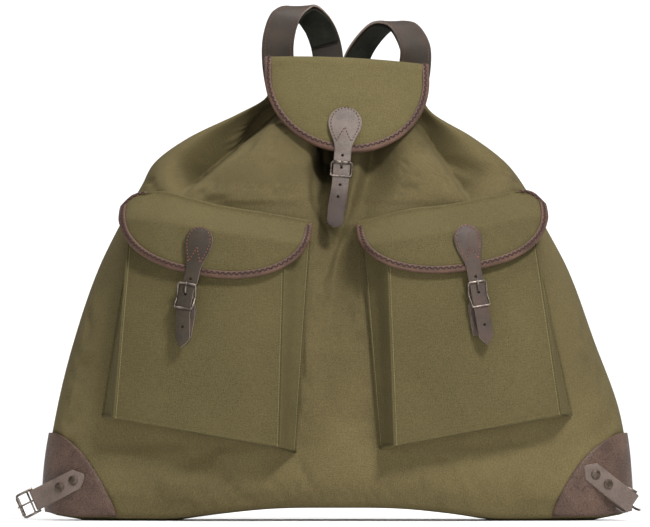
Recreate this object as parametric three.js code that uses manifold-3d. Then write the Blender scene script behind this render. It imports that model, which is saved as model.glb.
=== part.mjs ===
// Canvas rucksack with a gathered neck, a buckled lid, two buckled pockets, leather bottom corners
// and leather shoulder straps. Millimetres, +Z up, front towards -Y, origin on the ground under the
// middle of the whole.
import * as THREE from "three";
import { LoftGeometry } from "three/addons/geometries/LoftGeometry.js";
import { mergeVertices } from "three/addons/utils/BufferGeometryUtils.js";
import Module from "manifold-3d";

const wasm = await Module();
wasm.setup();

// Thicknesses and gaps.
const CANVAS = 2;
const LEATHER = 2.1;
const GAP = 0.4;

// The sack, a row per level: its side seams and how far it bulges before and behind them.
const SACK_LEVELS = [
  { z: 8, left: -293, right: 296, front: 82, back: 70 },
  { z: 36, left: -295.5, right: 296.5, front: 94, back: 77 },
  { z: 109, left: -285, right: 287, front: 106, back: 81 },
  { z: 182, left: -267, right: 261, front: 110, back: 81 },
  { z: 255, left: -242, right: 234, front: 105, back: 78 },
  { z: 304, left: -218, right: 208, front: 97, back: 74 },
  { z: 340, left: -198, right: 189, front: 87, back: 70 },
  { z: 364, left: -184, right: 170, front: 78, back: 66 },
  { z: 389, left: -149, right: 137, front: 66, back: 61 },
  { z: 413, left: -99, right: 97, front: 54, back: 56 },
  { z: 427, left: -74, right: 87, front: 46, back: 52 },
  { z: 438, left: -69, right: 82, front: 43, back: 50 },
  { z: 452, left: -74, right: 85, front: 47, back: 52 },
];
const SACK_FRONT_FULLNESS = 2.3;
const SACK_BACK_FULLNESS = 3;
const SACK_RINGS = [
  8, 24, 50, 90, 150, 210, 260, 300, 322, 340, 354, 366, 378, 390, 402, 414, 427, 439, 452,
];
const SACK_FRONT_COLUMNS = 30;
const SACK_BACK_COLUMNS = 8;
// The base: rings towards its middle, and how far it stands off the ground along the bag.
const BASE_RINGS = [0, 0.35, 0.66, 0.87];
const BASE_LIFTS = [
  { x: -300, lift: 5 },
  { x: -262, lift: 0 },
  { x: -170, lift: 0 },
  { x: -125, lift: 6 },
  { x: -65, lift: 12 },
  { x: 0, lift: 13 },
  { x: 65, lift: 12 },
  { x: 115, lift: 7 },
  { x: 165, lift: 0 },
  { x: 262, lift: 0 },
  { x: 300, lift: 5 },
];
const EDGE_LIFT = 4;
const RIM_REACH = 60;
// Folds of the front, a row per crease: where it starts and fades out, how deep it is and how far
// the hollow reaches to its left and right.
const FOLDS = [
  { topX: -10, topZ: 372, footX: -3, footZ: 190, depth: 34, left: 9, right: 15 },
  { topX: 31, topZ: 366, footX: 27, footZ: 245, depth: 17, left: 9, right: 22 },
  { topX: -61, topZ: 413, footX: -140, footZ: 326, depth: 15, left: 42, right: 5 },
  { topX: 81, topZ: 404, footX: 127, footZ: 322, depth: 15, left: 5, right: 42 },
  { topX: 262, topZ: 88, footX: 150, footZ: 8, depth: 6, left: 22, right: 12 },
  { topX: -30, topZ: 100, footX: -90, footZ: 20, depth: 4, left: 18, right: 18 },
];

// The lid: half a rounded shape that hangs over the front from a fold above the mouth.
const LID = {
  middle: 10, half: 82, drop: 94, straight: 16, rounding: 2, thick: 2.4, columns: 12, rows: 4, above: [-94, -70, -47, -22, -8],
};
const LID_TOP = { left: 471, right: 463 };
// From the back edge over the mouth to the tip: depth, and height below the fold line.
const LID_PROFILE = [
  { f: -94, y: 57.5, sink: 30 },
  { f: -70, y: 57, sink: 9 },
  { f: -47, y: 42, sink: 0.5 },
  { f: -22, y: 0, sink: -1.5 },
  { f: 0, y: -38, sink: 0 },
  { f: 9.4, y: -45, sink: 9.4 },
  { f: 47, y: -67, sink: 47 },
  { f: 96, y: -87, sink: 96 },
];
const LID_SIDE_CURL = 20;

// The pockets, given for each side: corners of the sewn outline and of the front, as x and z.
const POCKETS = {
  left: {
    sewn: { topOuter: [-207, 290], topInner: [-27, 283], lowInner: [-42, 70], lowOuter: [-237, 106] },
    face: { topOuter: [-212, 284], topInner: [-52, 270], lowInner: [-57, 75], lowOuter: [-227, 104] },
    flap: { outer: -1, middle: [-120, 315], tilt: -8, half: 98, drop: 67 },
    closure: { at: [-152, 227], lean: 8.5 },
  },
  right: {
    sewn: { topOuter: [198, 286], topInner: [26, 285], lowInner: [43, 74], lowOuter: [237, 107] },
    face: { topOuter: [204, 278], topInner: [50, 268], lowInner: [57, 76], lowOuter: [228, 108] },
    flap: { outer: 1, middle: [114, 315], tilt: 9, half: 96.5, drop: 62 },
    closure: { at: [142, 229], lean: -8.5 },
  },
};
const POCKET_DEPTH = 30;
const POCKET_BULGE = 4;
const POCKET_COLUMNS = 7;
const POCKET_ROWS = 6;
const FLAP = { lift: 34, sewn: 5.8, rise: 24, straight: 9, rounding: 2.5, columns: 16, rows: 3 };
// Rise of a flap's top line from its inner end to its outer one.
const FLAP_CREST = [
  { along: 0, rise: 0 },
  { along: 0.25, rise: 3 },
  { along: 0.55, rise: 5 },
  { along: 0.8, rise: 5.5 },
  { along: 0.92, rise: 3.5 },
  { along: 1, rise: -9 },
];
const CREST_REACH = 30;
const SADDLE_REACH = 0.86;

// Leather edge round the lid and the flaps.
const BINDING = { width: 7.5, over: 1.6, leather: 1.3, gap: 0.8 };

// Closures: a tongue through a bowed buckle with a middle bar, on a doubled leather chape.
const LID_CLOSURE = { at: [4.5, 356], lean: 4.3, slope: 13, half: 8.5, pear: 17, top: 64, below: 61, reach: 7.2, tipRound: 2 };
const POCKET_CLOSURE = { half: 7.5, pear: 14.5, top: 72, below: 52, reach: 12.5, tipRound: 1 };
const CLOSURE_RAISE = 6.6;
const BUCKLE = { wire: 1, bow: 6.3 };
const TONGUE = { taper: 46, tip: 9, middle: 3.95 };
const CHAPE = { below: 40, leather: 1.3, front: -2.5, back: -4.05, loop: 1.95 };
const HOLES = { radius: 1.5, below: [-16, -28.5] };

// Bottom corners: leather patches, riveted tabs, an open buckle on the left and a hook on the right.
const PATCH = { high: 88, leather: 1.6, off: 2, rows: 7, columns: 8 };
const CORNERS = {
  left: { side: -1, reach: 71, bar: [-304.5, 21.4], along: 25, turn: 22, stand: 6, tab: 58, inner: 45.5, outer: 29 },
  right: { side: 1, reach: 79, bar: [297, 18.4], along: 36, turn: 22, stand: 6.5, tab: 62.5, inner: 48, outer: 31 },
};
const TAB = { half: 10.4, point: 9, back: 36, ring: 2.75, near: 1.35, slit: 3.6 };
const RIVET = { head: 5, rise: 2, shank: 1.7 };
const CORNER_BUCKLE = { wire: 1.2, half: 12, keeper: 6.5, far: 19, roller: 1.9, prong: 0.9 };
const HOOK = { wire: 1.25, half: 12.2, inward: 9, behind: 5.5, shank: 8.5, nose: 13 };

// Shoulder straps, a row per station from the sewn end over the arch to the free end.
const STRAP = { half: 15.5, broad: 16.8, leather: 3, felt: 1.5, between: 2.1, steps: 48 };
const LEFT_STRAP = [
  { x: -53, y: 63, z: 418, yaw: 0 },
  { x: -56, y: 63, z: 440, yaw: 0 },
  { x: -60, y: 63.5, z: 466, yaw: 0 },
  { x: -59, y: 64.5, z: 490, yaw: -6 },
  { x: -51, y: 70, z: 511, yaw: -16 },
  { x: -36, y: 86, z: 518, yaw: -18 },
  { x: -19, y: 98, z: 501, yaw: -8 },
  { x: -10, y: 101, z: 476, yaw: -3 },
  { x: -10, y: 98, z: 446, yaw: 0 },
  { x: -18, y: 95, z: 400, yaw: 0 },
  { x: -23, y: 94, z: 300, yaw: 0 },
  { x: -25, y: 94, z: 180, yaw: 0 },
  { x: -26, y: 93, z: 62, yaw: 0 },
];
const RIGHT_STRAP = [
  { x: 74, y: 63, z: 418, yaw: 0 },
  { x: 76.5, y: 63, z: 440, yaw: 2 },
  { x: 79, y: 63.5, z: 462, yaw: 8 },
  { x: 78, y: 64.5, z: 482, yaw: 20 },
  { x: 66, y: 71, z: 500, yaw: 30 },
  { x: 48, y: 84, z: 502, yaw: 37 },
  { x: 31, y: 97, z: 486, yaw: 39 },
  { x: 20, y: 103, z: 465, yaw: 36 },
  { x: 19, y: 101, z: 440, yaw: 28 },
  { x: 22, y: 96, z: 400, yaw: 10 },
  { x: 24, y: 94, z: 300, yaw: 0 },
  { x: 26, y: 94, z: 180, yaw: 0 },
  { x: 27, y: 93, z: 78, yaw: 0 },
];
const RING = { wire: 2, loose: 0.3, turned: [[-0.6, 4.5], [2.2, 11], [2.85, 18], [2.85, 28]] };
const RING_OUTLINE = [[-19.5, 0], [19.5, 0], [18, -13], [11.5, -25], [0, -30], [-11.5, -25], [-18, -13]];

// Middle of the whole seen from above, which becomes the origin.
const MIDDLE = { x: -9.1, y: -14.3 };

const canvas = new THREE.MeshStandardMaterial({ color: 0x6d6344, roughness: 0.95, metalness: 0 });
const pocketCanvas = new THREE.MeshStandardMaterial({ color: 0x6a6143, roughness: 0.95, metalness: 0 });
const bindingLeather = new THREE.MeshStandardMaterial({ color: 0x62503f, roughness: 0.6, metalness: 0 });
const closureLeather = new THREE.MeshStandardMaterial({ color: 0x6e6159, roughness: 0.5, metalness: 0 });
const patchLeather = new THREE.MeshStandardMaterial({ color: 0x6b4a3c, roughness: 0.5, metalness: 0 });
const strapLeather = new THREE.MeshStandardMaterial({ color: 0x5a4a42, roughness: 0.55, metalness: 0 });
const felt = new THREE.MeshStandardMaterial({ color: 0x2b2822, roughness: 1, metalness: 0 });
const steel = new THREE.MeshStandardMaterial({ color: 0x8c857c, roughness: 0.35, metalness: 1 });

const vec = (x, y, z) => new THREE.Vector3(x, y, z);
const lerp = THREE.MathUtils.lerp;
const clamp = THREE.MathUtils.clamp;
const ease = (t) => THREE.MathUtils.smoothstep(t, 0, 1);
const rad = THREE.MathUtils.degToRad;
const range = (count, from = 0, to = 1) =>
  Array.from({ length: count + 1 }, (_, i) => lerp(from, to, i / count));

// One column of a table as a smooth function of another.
function track(rows, by, value) {
  const line = new THREE.CubicInterpolant(
    rows.map((row) => row[by]), rows.map((row) => row[value]), 1, new Float32Array(1));
  return (at) => line.evaluate(clamp(at, rows[0][by], rows[rows.length - 1][by]))[0];
}

// The bare shape with shared corners and without triangles that have closed up.
function bare(geometry) {
  const plain = new THREE.BufferGeometry();
  plain.setAttribute("position", geometry.attributes.position.clone());
  plain.setIndex(geometry.index.clone());
  const merged = mergeVertices(plain, 1e-3);
  const kept = [];
  for (let i = 0; i < merged.index.count; i += 3) {
    const [a, b, c] = [0, 1, 2].map((k) => merged.index.getX(i + k));
    if (a !== b && b !== c && c !== a) kept.push(a, b, c);
  }
  merged.setIndex(kept);
  merged.computeVertexNormals();
  return merged;
}

function toSolid(geometry) {
  const { attributes, index } = bare(geometry);
  const triVerts = new Uint32Array(index.array);
  return new wasm.Manifold(
    new wasm.Mesh({ numProp: 3, vertProperties: attributes.position.array, triVerts }));
}

function toGeometry(solid) {
  const { vertProperties, triVerts } = solid.getMesh();
  const geometry = new THREE.BufferGeometry();
  geometry.setAttribute("position", new THREE.BufferAttribute(new Float32Array(vertProperties), 3));
  geometry.setIndex(new THREE.BufferAttribute(new Uint32Array(triVerts), 1));
  geometry.computeVertexNormals();
  return geometry;
}

const union = (solids) => toGeometry(solids.reduce((whole, next) => whole.add(next)));

function cut(geometry, tools) {
  return toGeometry(tools.reduce((left, tool) => left.subtract(toSolid(tool)), toSolid(geometry)));
}

// A closed wall grown inwards from an open surface whose faces look out.
function thicken(surface, thick) {
  const skin = bare(surface);
  const kept = range(skin.index.count / 3 - 1, 0, skin.index.count - 3).map((i) => [...skin.index.array.slice(Math.round(i), Math.round(i) + 3)]);
  const { position, normal } = skin.attributes;
  const count = position.count;
  const points = [...position.array];
  for (let i = 0; i < count; i++) {
    const p = vec().fromBufferAttribute(position, i);
    points.push(...p.addScaledVector(vec().fromBufferAttribute(normal, i), -thick).toArray());
  }
  const edges = new Set(kept.flatMap(([a, b, c]) => [`${a} ${b}`, `${b} ${c}`, `${c} ${a}`]));
  const faces = kept.flatMap(([a, b, c]) => [a, b, c, c + count, b + count, a + count]);
  for (const edge of edges) {
    const [a, b] = edge.split(" ").map(Number);
    if (!edges.has(`${b} ${a}`)) faces.push(b, a, a + count, b, a + count, b + count);
  }
  const wall = new THREE.BufferGeometry();
  wall.setAttribute("position", new THREE.Float32BufferAttribute(points, 3));
  wall.setIndex(faces);
  wall.computeVertexNormals();
  return wall;
}

// A round wire along a path, its corners cut twice so that they stay round; a ring joins its own end.
function wire(points, radius, { sides = 5, ring = false, hint = vec(0, 1, 0) } = {}) {
  const way = (from, to) => to.clone().sub(from).normalize();
  const next = (i, list, by) => list[ring ? (i + by + list.length) % list.length : clamp(i + by, 0, list.length - 1)];
  const path = points.flatMap((point, i) => {
    if (!ring && (i === 0 || i === points.length - 1)) return [point];
    const before = way(point, next(i, points, -1)), after = way(point, next(i, points, 1));
    if (before.dot(after) < -0.8) return [point];
    const short = Math.min(radius * 1.2, point.distanceTo(next(i, points, -1)) / 3, point.distanceTo(next(i, points, 1)) / 3);
    return [before, after].map((side) => point.clone().addScaledVector(side, short));
  });
  const sections = path.map((middle, i) => {
    const along = way(next(i, path, -1), next(i, path, 1));
    const across = hint.clone().addScaledVector(along, -hint.dot(along)).normalize();
    const out = along.clone().cross(across);
    return range(sides).slice(0, -1).map((k) => middle.clone()
      .addScaledVector(across, Math.cos(k * 2 * Math.PI) * radius)
      .addScaledVector(out, Math.sin(k * 2 * Math.PI) * radius));
  });
  if (ring) sections.push(sections[0].map((point) => point.clone()));
  return new LoftGeometry(sections, { capStart: !ring, capEnd: !ring });
}

const joined = (...geometries) => union(geometries.map(toSolid));

// Stations along a path, each with its middle, the way across and the way out of the strip's face.
function stationsOf(points, hintAt) {
  return points.map((middle, i) => {
    const way = points[Math.min(i + 1, points.length - 1)].clone().sub(points[Math.max(i - 1, 0)]).normalize();
    const hint = hintAt(i);
    const across = hint.clone().addScaledVector(way, -hint.dot(way)).normalize();
    return { middle, across, out: across.clone().cross(way) };
  });
}

// A solid through the stations, with the section at each as pairs of across and out.
function sweep(stations, sectionAt) {
  const sections = stations.map((station, i) =>
    sectionAt(i).map(([across, out]) =>
      station.middle.clone().addScaledVector(station.across, across).addScaledVector(station.out, out)));
  return new LoftGeometry(sections, { capStart: true, capEnd: true });
}

const strip = (half, low, high) => [[-half, low], [-half, high], [half, high], [half, low]];

const rig = new THREE.Group();

function piece(name, geometry, material, parent = rig) {
  const mesh = new THREE.Mesh(geometry, material.clone());
  mesh.name = name;
  parent.add(mesh);
  return mesh;
}

// The sack.
const sackLeft = track(SACK_LEVELS, "z", "left");
const sackRight = track(SACK_LEVELS, "z", "right");
const sackFront = track(SACK_LEVELS, "z", "front");
const sackBack = track(SACK_LEVELS, "z", "back");
const liftTrack = track(BASE_LIFTS, "x", "lift");
const baseLift = (x) => Math.max(liftTrack(x), 0);

function foldDepth(x, z) {
  return FOLDS.reduce((sum, fold) => {
    const t = (fold.topZ - z) / (fold.topZ - fold.footZ);
    if (t > 1) return sum;
    const off = x - lerp(fold.topX, fold.footX, clamp(t, -0.3, 1));
    const spread = (off < 0 ? fold.left : fold.right) * (1 + Math.max(t, 0));
    return sum + fold.depth * (1 - ease(clamp(t, 0, 1))) * Math.exp(-((off / spread) ** 2));
  }, 0);
}

function sackSpan(z) {
  const left = sackLeft(z), right = sackRight(z);
  return { middle: (left + right) / 2, half: (right - left) / 2 };
}

// Depth of the front at a place seen from the front.
function frontOf(x, z) {
  const { middle, half } = sackSpan(z);
  const u = Math.min(Math.abs((x - middle) / half), 1);
  const full = (1 - u ** SACK_FRONT_FULLNESS) ** (1 / SACK_FRONT_FULLNESS);
  return -sackFront(z) * full + foldDepth(x, z) * (1 - u ** 4);
}

function backOf(x, z) {
  const { middle, half } = sackSpan(z);
  const u = Math.min(Math.abs((x - middle) / half), 1);
  return sackBack(z) * (1 - u ** SACK_BACK_FULLNESS) ** (1 / 2);
}

// A point of the skin: u runs from -1 at the left seam to 1 at the right one.
function skin(u, z, behind) {
  const { middle, half } = sackSpan(z);
  const x = middle + half * u;
  const y = behind ? backOf(x, z) : frontOf(x, z);
  const raise = (baseLift(x) + EDGE_LIFT) * (1 - clamp((z - 8) / RIM_REACH, 0, 1)) ** 2;
  return vec(x, y, z - 8 * (1 - clamp((z - 8) / RIM_REACH, 0, 1)) + raise);
}

// Seam to seam along the front with columns close together at the seams, then back behind.
function sackColumns() {
  const lean = (t) => lerp(t, Math.sin((t * Math.PI) / 2), 0.55);
  const front = range(SACK_FRONT_COLUMNS, -1, 1).map((t) => ({ u: lean(t), behind: false }));
  const back = range(SACK_BACK_COLUMNS, 1, -1).slice(1, -1).map((t) => ({ u: Math.sin((t * Math.PI) / 2), behind: true }));
  return [...front, ...back];
}

function sackGeometry() {
  const columns = sackColumns();
  const rim = columns.map(({ u, behind }) => skin(u, SACK_RINGS[0], behind));
  const base = BASE_RINGS.map((share) => rim.map((p) => vec(p.x * share, p.y * share, baseLift(p.x * share))));
  const rings = SACK_RINGS.map((z) => columns.map(({ u, behind }) => skin(u, z, behind)));
  return thicken(new LoftGeometry([...base, ...rings], { closed: true }), CANVAS);
}
piece("bag_body", sackGeometry(), canvas);

// Outline of a sheet that hangs from a line: straight sides, then a rounded lower edge. The share runs
// from the left end to the right one, and inset draws the same outline further in.
function hem({ half, drop, straight, rounding }, share, inset = 0) {
  const angle = share * Math.PI;
  const round = (v) => Math.sign(v) * Math.abs(v) ** (2 / rounding);
  return { a: -(half - inset) * round(Math.cos(angle)), f: straight + (drop - inset - straight) * round(Math.sin(angle)) };
}

// Outward normal of a sheet given as a function of the place along its line and the fall below it.
function sheetNormal(at, a, f) {
  const step = 0.6;
  const across = at(a + step, f).sub(at(a - step, f));
  const down = at(a, f + step).sub(at(a, f - step));
  return down.cross(across).normalize();
}

// Stations round the free edge of a sheet: the edge, and the line where the leather round it ends.
function hemStations(outline, sides) {
  const reach = BINDING.width - BINDING.over;
  const level = (end) => (f) => ({ rim: { a: end * outline.half, f }, inner: { a: end * (outline.half - reach), f } });
  const lower = range(outline.columns).map((share) => ({ rim: hem(outline, share), inner: hem(outline, share, reach) }));
  return [...sides.map(level(-1)), ...lower, ...[...sides].reverse().map(level(1))];
}

// A sheet as a wall in rows from edge to edge, with extra rows above its line.
function hungGeometry(at, outline, thick) {
  const { columns, rows, above } = outline;
  const hems = range(columns, 1, 0).map((share) => hem(outline, share));
  const sections = [
    ...above.map((f) => hems.map(({ a }) => at(a, f))),
    ...range(rows).map((share) => hems.map(({ a, f }) => at(a, f * share))),
  ];
  return thicken(new LoftGeometry(sections, { closed: false }), thick);
}

// A sheet as a wall in rows that follow its free edge inwards to its line, thinner at the edge.
function edgedGeometry(at, outline, thick) {
  const sections = hemStations(outline, [0]).map(({ rim, inner }) => {
    const edge = { a: lerp(inner.a, rim.a, 0.7), f: lerp(inner.f, rim.f, 0.7), pared: 0.5 };
    const inwards = range(outline.rows).map((share) => ({ a: inner.a * lerp(1, 0.82, share), f: inner.f * (1 - share), pared: 0 }));
    const side = (depth) => ({ a, f, pared }) =>
      at(a, f).addScaledVector(sheetNormal(at, a, f), -thick * lerp(pared / 2, 1 - pared / 2, depth));
    const line = [edge, ...inwards];
    return [...line.map(side(1)), ...line.map(side(0)).reverse()];
  });
  return bare(new LoftGeometry(sections, { capStart: true, capEnd: true }));
}

// Leather folded round the free edge of a sheet, from the given places up its sides.
function bindingGeometry(at, outline, sides, thick) {
  const { over, leather, gap } = BINDING;
  const slot = thick / 2 + gap;
  const outer = slot + leather;
  const sections = hemStations(outline, sides).map(({ rim, inner }) => {
    const [edge, root] = [rim, inner].map(({ a, f }) => {
      const normal = sheetNormal(at, a, f);
      return { middle: at(a, f).addScaledVector(normal, -thick / 2), normal };
    });
    const out = edge.middle.clone().sub(root.middle).normalize();
    const by = ({ middle, normal }, away, lift) => middle.clone().addScaledVector(out, away).addScaledVector(normal, lift);
    return [
      by(edge, over, outer), by(edge, over, -outer), by(root, 0, -outer), by(root, 0, -slot),
      by(edge, gap, -slot), by(edge, gap, slot), by(root, 0, slot), by(root, 0, outer),
    ];
  });
  return new LoftGeometry(sections, { capStart: true, capEnd: true });
}

// The lid.
const lidDepth = track(LID_PROFILE, "f", "y");
const lidSink = track(LID_PROFILE, "f", "sink");

function lidAt(a, f) {
  const s = a / LID.half;
  const front = clamp(1 + f / 70, 0, 1);
  const top = lerp(LID_TOP.left, LID_TOP.right, (s + 1) / 2);
  return vec(LID.middle + a, lidDepth(f) + LID_SIDE_CURL * s * s * front, top - lidSink(f) - 3 * s * s);
}
piece("lid", hungGeometry(lidAt, LID, LID.thick), canvas);
piece("lid_binding", bindingGeometry(lidAt, LID, [...LID.above.slice(1), 0, 8], LID.thick), bindingLeather);

// The front under a pocket, carried on straight where the sack turns away to its side.
function saddle(x, z) {
  const { middle, half } = sackSpan(z);
  const edge = middle + Math.sign(x - middle) * half * SADDLE_REACH;
  if (Math.abs(x - middle) <= half * SADDLE_REACH) return frontOf(x, z);
  const inner = edge - Math.sign(x - middle) * 4;
  const slope = (frontOf(edge, z) - frontOf(inner, z)) / (edge - inner);
  return frontOf(edge, z) + slope * (x - edge) * 0.8;
}

function corner(outline, s, t) {
  const top = vec(...outline.topOuter, 0).lerp(vec(...outline.topInner, 0), s);
  const low = vec(...outline.lowOuter, 0).lerp(vec(...outline.lowInner, 0), s);
  return low.lerp(top, t);
}

// A pocket as an open tray: sewn edge, gusset, front.
function pocketGeometry({ sewn, face }, mirrored) {
  const place = (s, t, onFace) => {
    const at = corner(onFace ? face : sewn, s, t);
    const [x, z] = [at.x, at.y];
    const bulge = POCKET_BULGE * Math.sin(Math.PI * s) * Math.sin(Math.PI * clamp(t, 0, 0.8));
    const depth = POCKET_DEPTH * (1 - 0.45 * (1 - s) ** 4 * t ** 4);
    return vec(x, onFace ? saddle(x, z) - depth - bulge : frontOf(x, z) - 2.4, z);
  };
  const midway = (a, b, k) => a.clone().lerp(b, k);
  const columns = range(POCKET_COLUMNS);
  const line = (t, low) => {
    const row = columns.map((s) => place(s, t, !low));
    const first = place(0, t, false), last = place(1, t, false);
    const ends = (edge, front) => (low ? [edge, edge.clone(), edge.clone()] : [edge, midway(edge, front, 0.5), front.clone().lerp(edge, 0.04)]);
    return [...ends(first, row[0]), ...row.slice(1, -1), ...ends(last, row[row.length - 1]).reverse()];
  };
  const rows = [line(0, true)];
  const faceRows = range(POCKET_ROWS).map((t) => line(t, false));
  rows.push(rows[0].map((p, i) => midway(p, faceRows[0][i], 0.5)), ...faceRows);
  const sections = mirrored ? rows.map((row) => [...row].reverse()) : rows;
  return thicken(new LoftGeometry(sections, { closed: false }), CANVAS);
}

// A pocket flap: along its sewn line and down from it, lifted over the pocket's mouth.
const crestAt = track(FLAP_CREST, "along", "rise");

function flapAt({ outer, middle, tilt, half }) {
  const [cos, sin] = [Math.cos(rad(tilt)), Math.sin(rad(tilt))];
  const crest = (a) => crestAt((1 + (outer * a) / half) / 2);
  const depth = (x, z, a, f) => {
    const lift = FLAP.lift * ease(clamp(f / FLAP.rise, 0, 1)) * (1 - 0.45 * clamp(Math.abs(a / half), 0, 1) ** 5);
    return saddle(x, z) - FLAP.sewn - lift;
  };
  const at = (a, f) => {
    const down = f - crest(a) * Math.max(1 - f / CREST_REACH, 0);
    const x = middle[0] + cos * a + sin * down, z = middle[1] + sin * a - cos * down;
    return vec(x, depth(x, z, a, f), z);
  };
  const depthAt = (x, z) => {
    const [right, up] = [x - middle[0], z - middle[1]];
    const a = cos * right + sin * up, down = sin * right - cos * up;
    const f = down < CREST_REACH ? (down + crest(a)) / (1 + crest(a) / CREST_REACH) : down;
    return depth(x, z, a, f);
  };
  return { at, depthAt };
}

for (const [side, spec] of Object.entries(POCKETS)) {
  piece(`${side}_pocket`, pocketGeometry(spec, side === "right"), pocketCanvas);
  const { at } = flapAt(spec.flap);
  const outline = { ...FLAP, ...spec.flap };
  piece(`${side}_pocket_flap`, edgedGeometry(at, outline, CANVAS), pocketCanvas);
  piece(`${side}_pocket_binding`, bindingGeometry(at, outline, [0], CANVAS), bindingLeather);
}

// A closure in its own group: x across, z up along the tongue, -y out of the bag.
function closure(name, { at, lean, turn, slope, half, pear, top, below, reach, tipRound, flapEdge }, depthAt, flapY) {
  const group = new THREE.Group();
  group.position.set(at[0], depthAt - CLOSURE_RAISE, at[1]);
  group.rotation.set(rad(-slope), rad(lean), rad(turn), "ZXY");
  rig.add(group);
  group.updateMatrixWorld(true);
  const arm = half + 1.9;

  const out = (x, n, z) => vec(x, -n, z);
  const { wire: thick, bow } = BUCKLE;
  const frameLoop = [1, -1].flatMap((end) => [
    out(-arm * end, 0, 0), out(-arm * end, bow, reach * end), out(arm * end, bow, reach * end),
  ]);
  const middleBar = wire([out(-arm - 0.2, 0, 0), out(arm + 0.2, 0, 0)], thick);
  piece(`${name}_buckle`, joined(wire(frameLoop, thick, { ring: true }), middleBar), steel, group);

  const prongPath = [
    out(0, -2.1, 0.4), out(0, -1.5, -1.5), out(0, 0, -2.1), out(0, 1.5, -1.5), out(0, 2.1, 0.2),
    out(0, 3, 2.2), out(0, 5.6, 3.2), out(0, bow + 2.1, Math.min(reach - 0.6, 8)), out(0, bow + 2.1, reach + 1.6),
  ];
  piece(`${name}_prong`, wire(prongPath, 0.8, { sides: 4, hint: vec(1, 0, 0) }), steel, group);

  const { below: chapeLow, leather, front, back, loop } = CHAPE;
  const turns = range(5, -60, 240).map((angle) => [Math.cos(rad(angle)) * loop, Math.sin(rad(angle)) * loop]);
  const chapePath = [
    [front, -chapeLow], [front, -20], [front + 0.1, -9], ...turns, [back + 0.25, -7], [back, -12], [back, -chapeLow],
  ].map(([n, z]) => out(0, n, z));
  const chapeBand = sweep(stationsOf(chapePath, () => vec(1, 0, 0)), () => strip(half - 0.8, -leather / 2, leather / 2));
  const slit = new THREE.BoxGeometry(3.2, 16, 11).translate(0, 0, -0.5);
  piece(`${name}_chape`, cut(chapeBand, [slit]), closureLeather, group);

  // Tongue stations from the tip up to the pear, lifted over the flap and its edge.
  const { taper, tip, middle } = TONGUE;
  const levels = [-below, -below + tip * 0.35, -below + tip, -30, -16, -reach, 0, reach, flapEdge - 4, flapEdge + 2,
    ...range(9, flapEdge + 8, top)];
  const floor = (z) => {
    const spot = group.localToWorld(vec(0, 0, z));
    return (spot.y - flapY(spot.x, spot.z)) * Math.cos(rad(slope));
  };
  const rise = (z) => {
    if (z < flapEdge - 6) return middle;
    const clear = lerp(BINDING.leather + BINDING.gap + 1, 2.5, clamp((z - flapEdge - 8) / 12, 0, 1));
    return floor(Math.max(z, flapEdge + 4)) + clear + LEATHER / 2;
  };
  const halfAt = (z) => {
    if (z < -below + tip) return lerp(1.2, half, ((z + below) / tip) ** (1 / tipRound));
    const down = top - z;
    if (down >= taper) return half;
    if (down < pear) return Math.sqrt(Math.max(pear ** 2 - (pear - down) ** 2, 1.4));
    return lerp(pear, half, ease((down - pear) / (taper - pear)));
  };
  const path = levels.map((z) => out(0, rise(z), z));
  const band = sweep(stationsOf(path, () => vec(1, 0, 0)), (i) => strip(halfAt(levels[i]), -LEATHER / 2, LEATHER / 2));
  const drill = (z, radius) => new THREE.CylinderGeometry(radius, radius, 14, 6).translate(0, -middle, z);
  piece(`${name}_tongue`, cut(band, [drill(2.6, 2.4), drill(15, HOLES.radius), ...HOLES.below.map((z) => drill(z, HOLES.radius))]), closureLeather, group);
}

closure("lid", { ...LID_CLOSURE, turn: 0, flapEdge: 18 }, -84, (x, z) => {
  const a = x - LID.middle;
  return lidAt(a, lerp(LID_TOP.left, LID_TOP.right, (a / LID.half + 1) / 2) - z).y;
});
for (const [side, spec] of Object.entries(POCKETS)) {
  const { at, lean } = spec.closure;
  const turnAway = Math.atan2(saddle(at[0] + 20, at[1]) - saddle(at[0] - 20, at[1]), 40);
  const leanBack = Math.atan2(saddle(at[0], at[1] + 30) - saddle(at[0], at[1] - 30), 60);
  closure(`${side}_pocket`, {
    ...POCKET_CLOSURE, at, lean, turn: THREE.MathUtils.radToDeg(turnAway),
    slope: THREE.MathUtils.radToDeg(leanBack), flapEdge: 24,
  }, saddle(...at) - POCKET_DEPTH - POCKET_BULGE, flapAt(spec.flap).depthAt);
}

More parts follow.
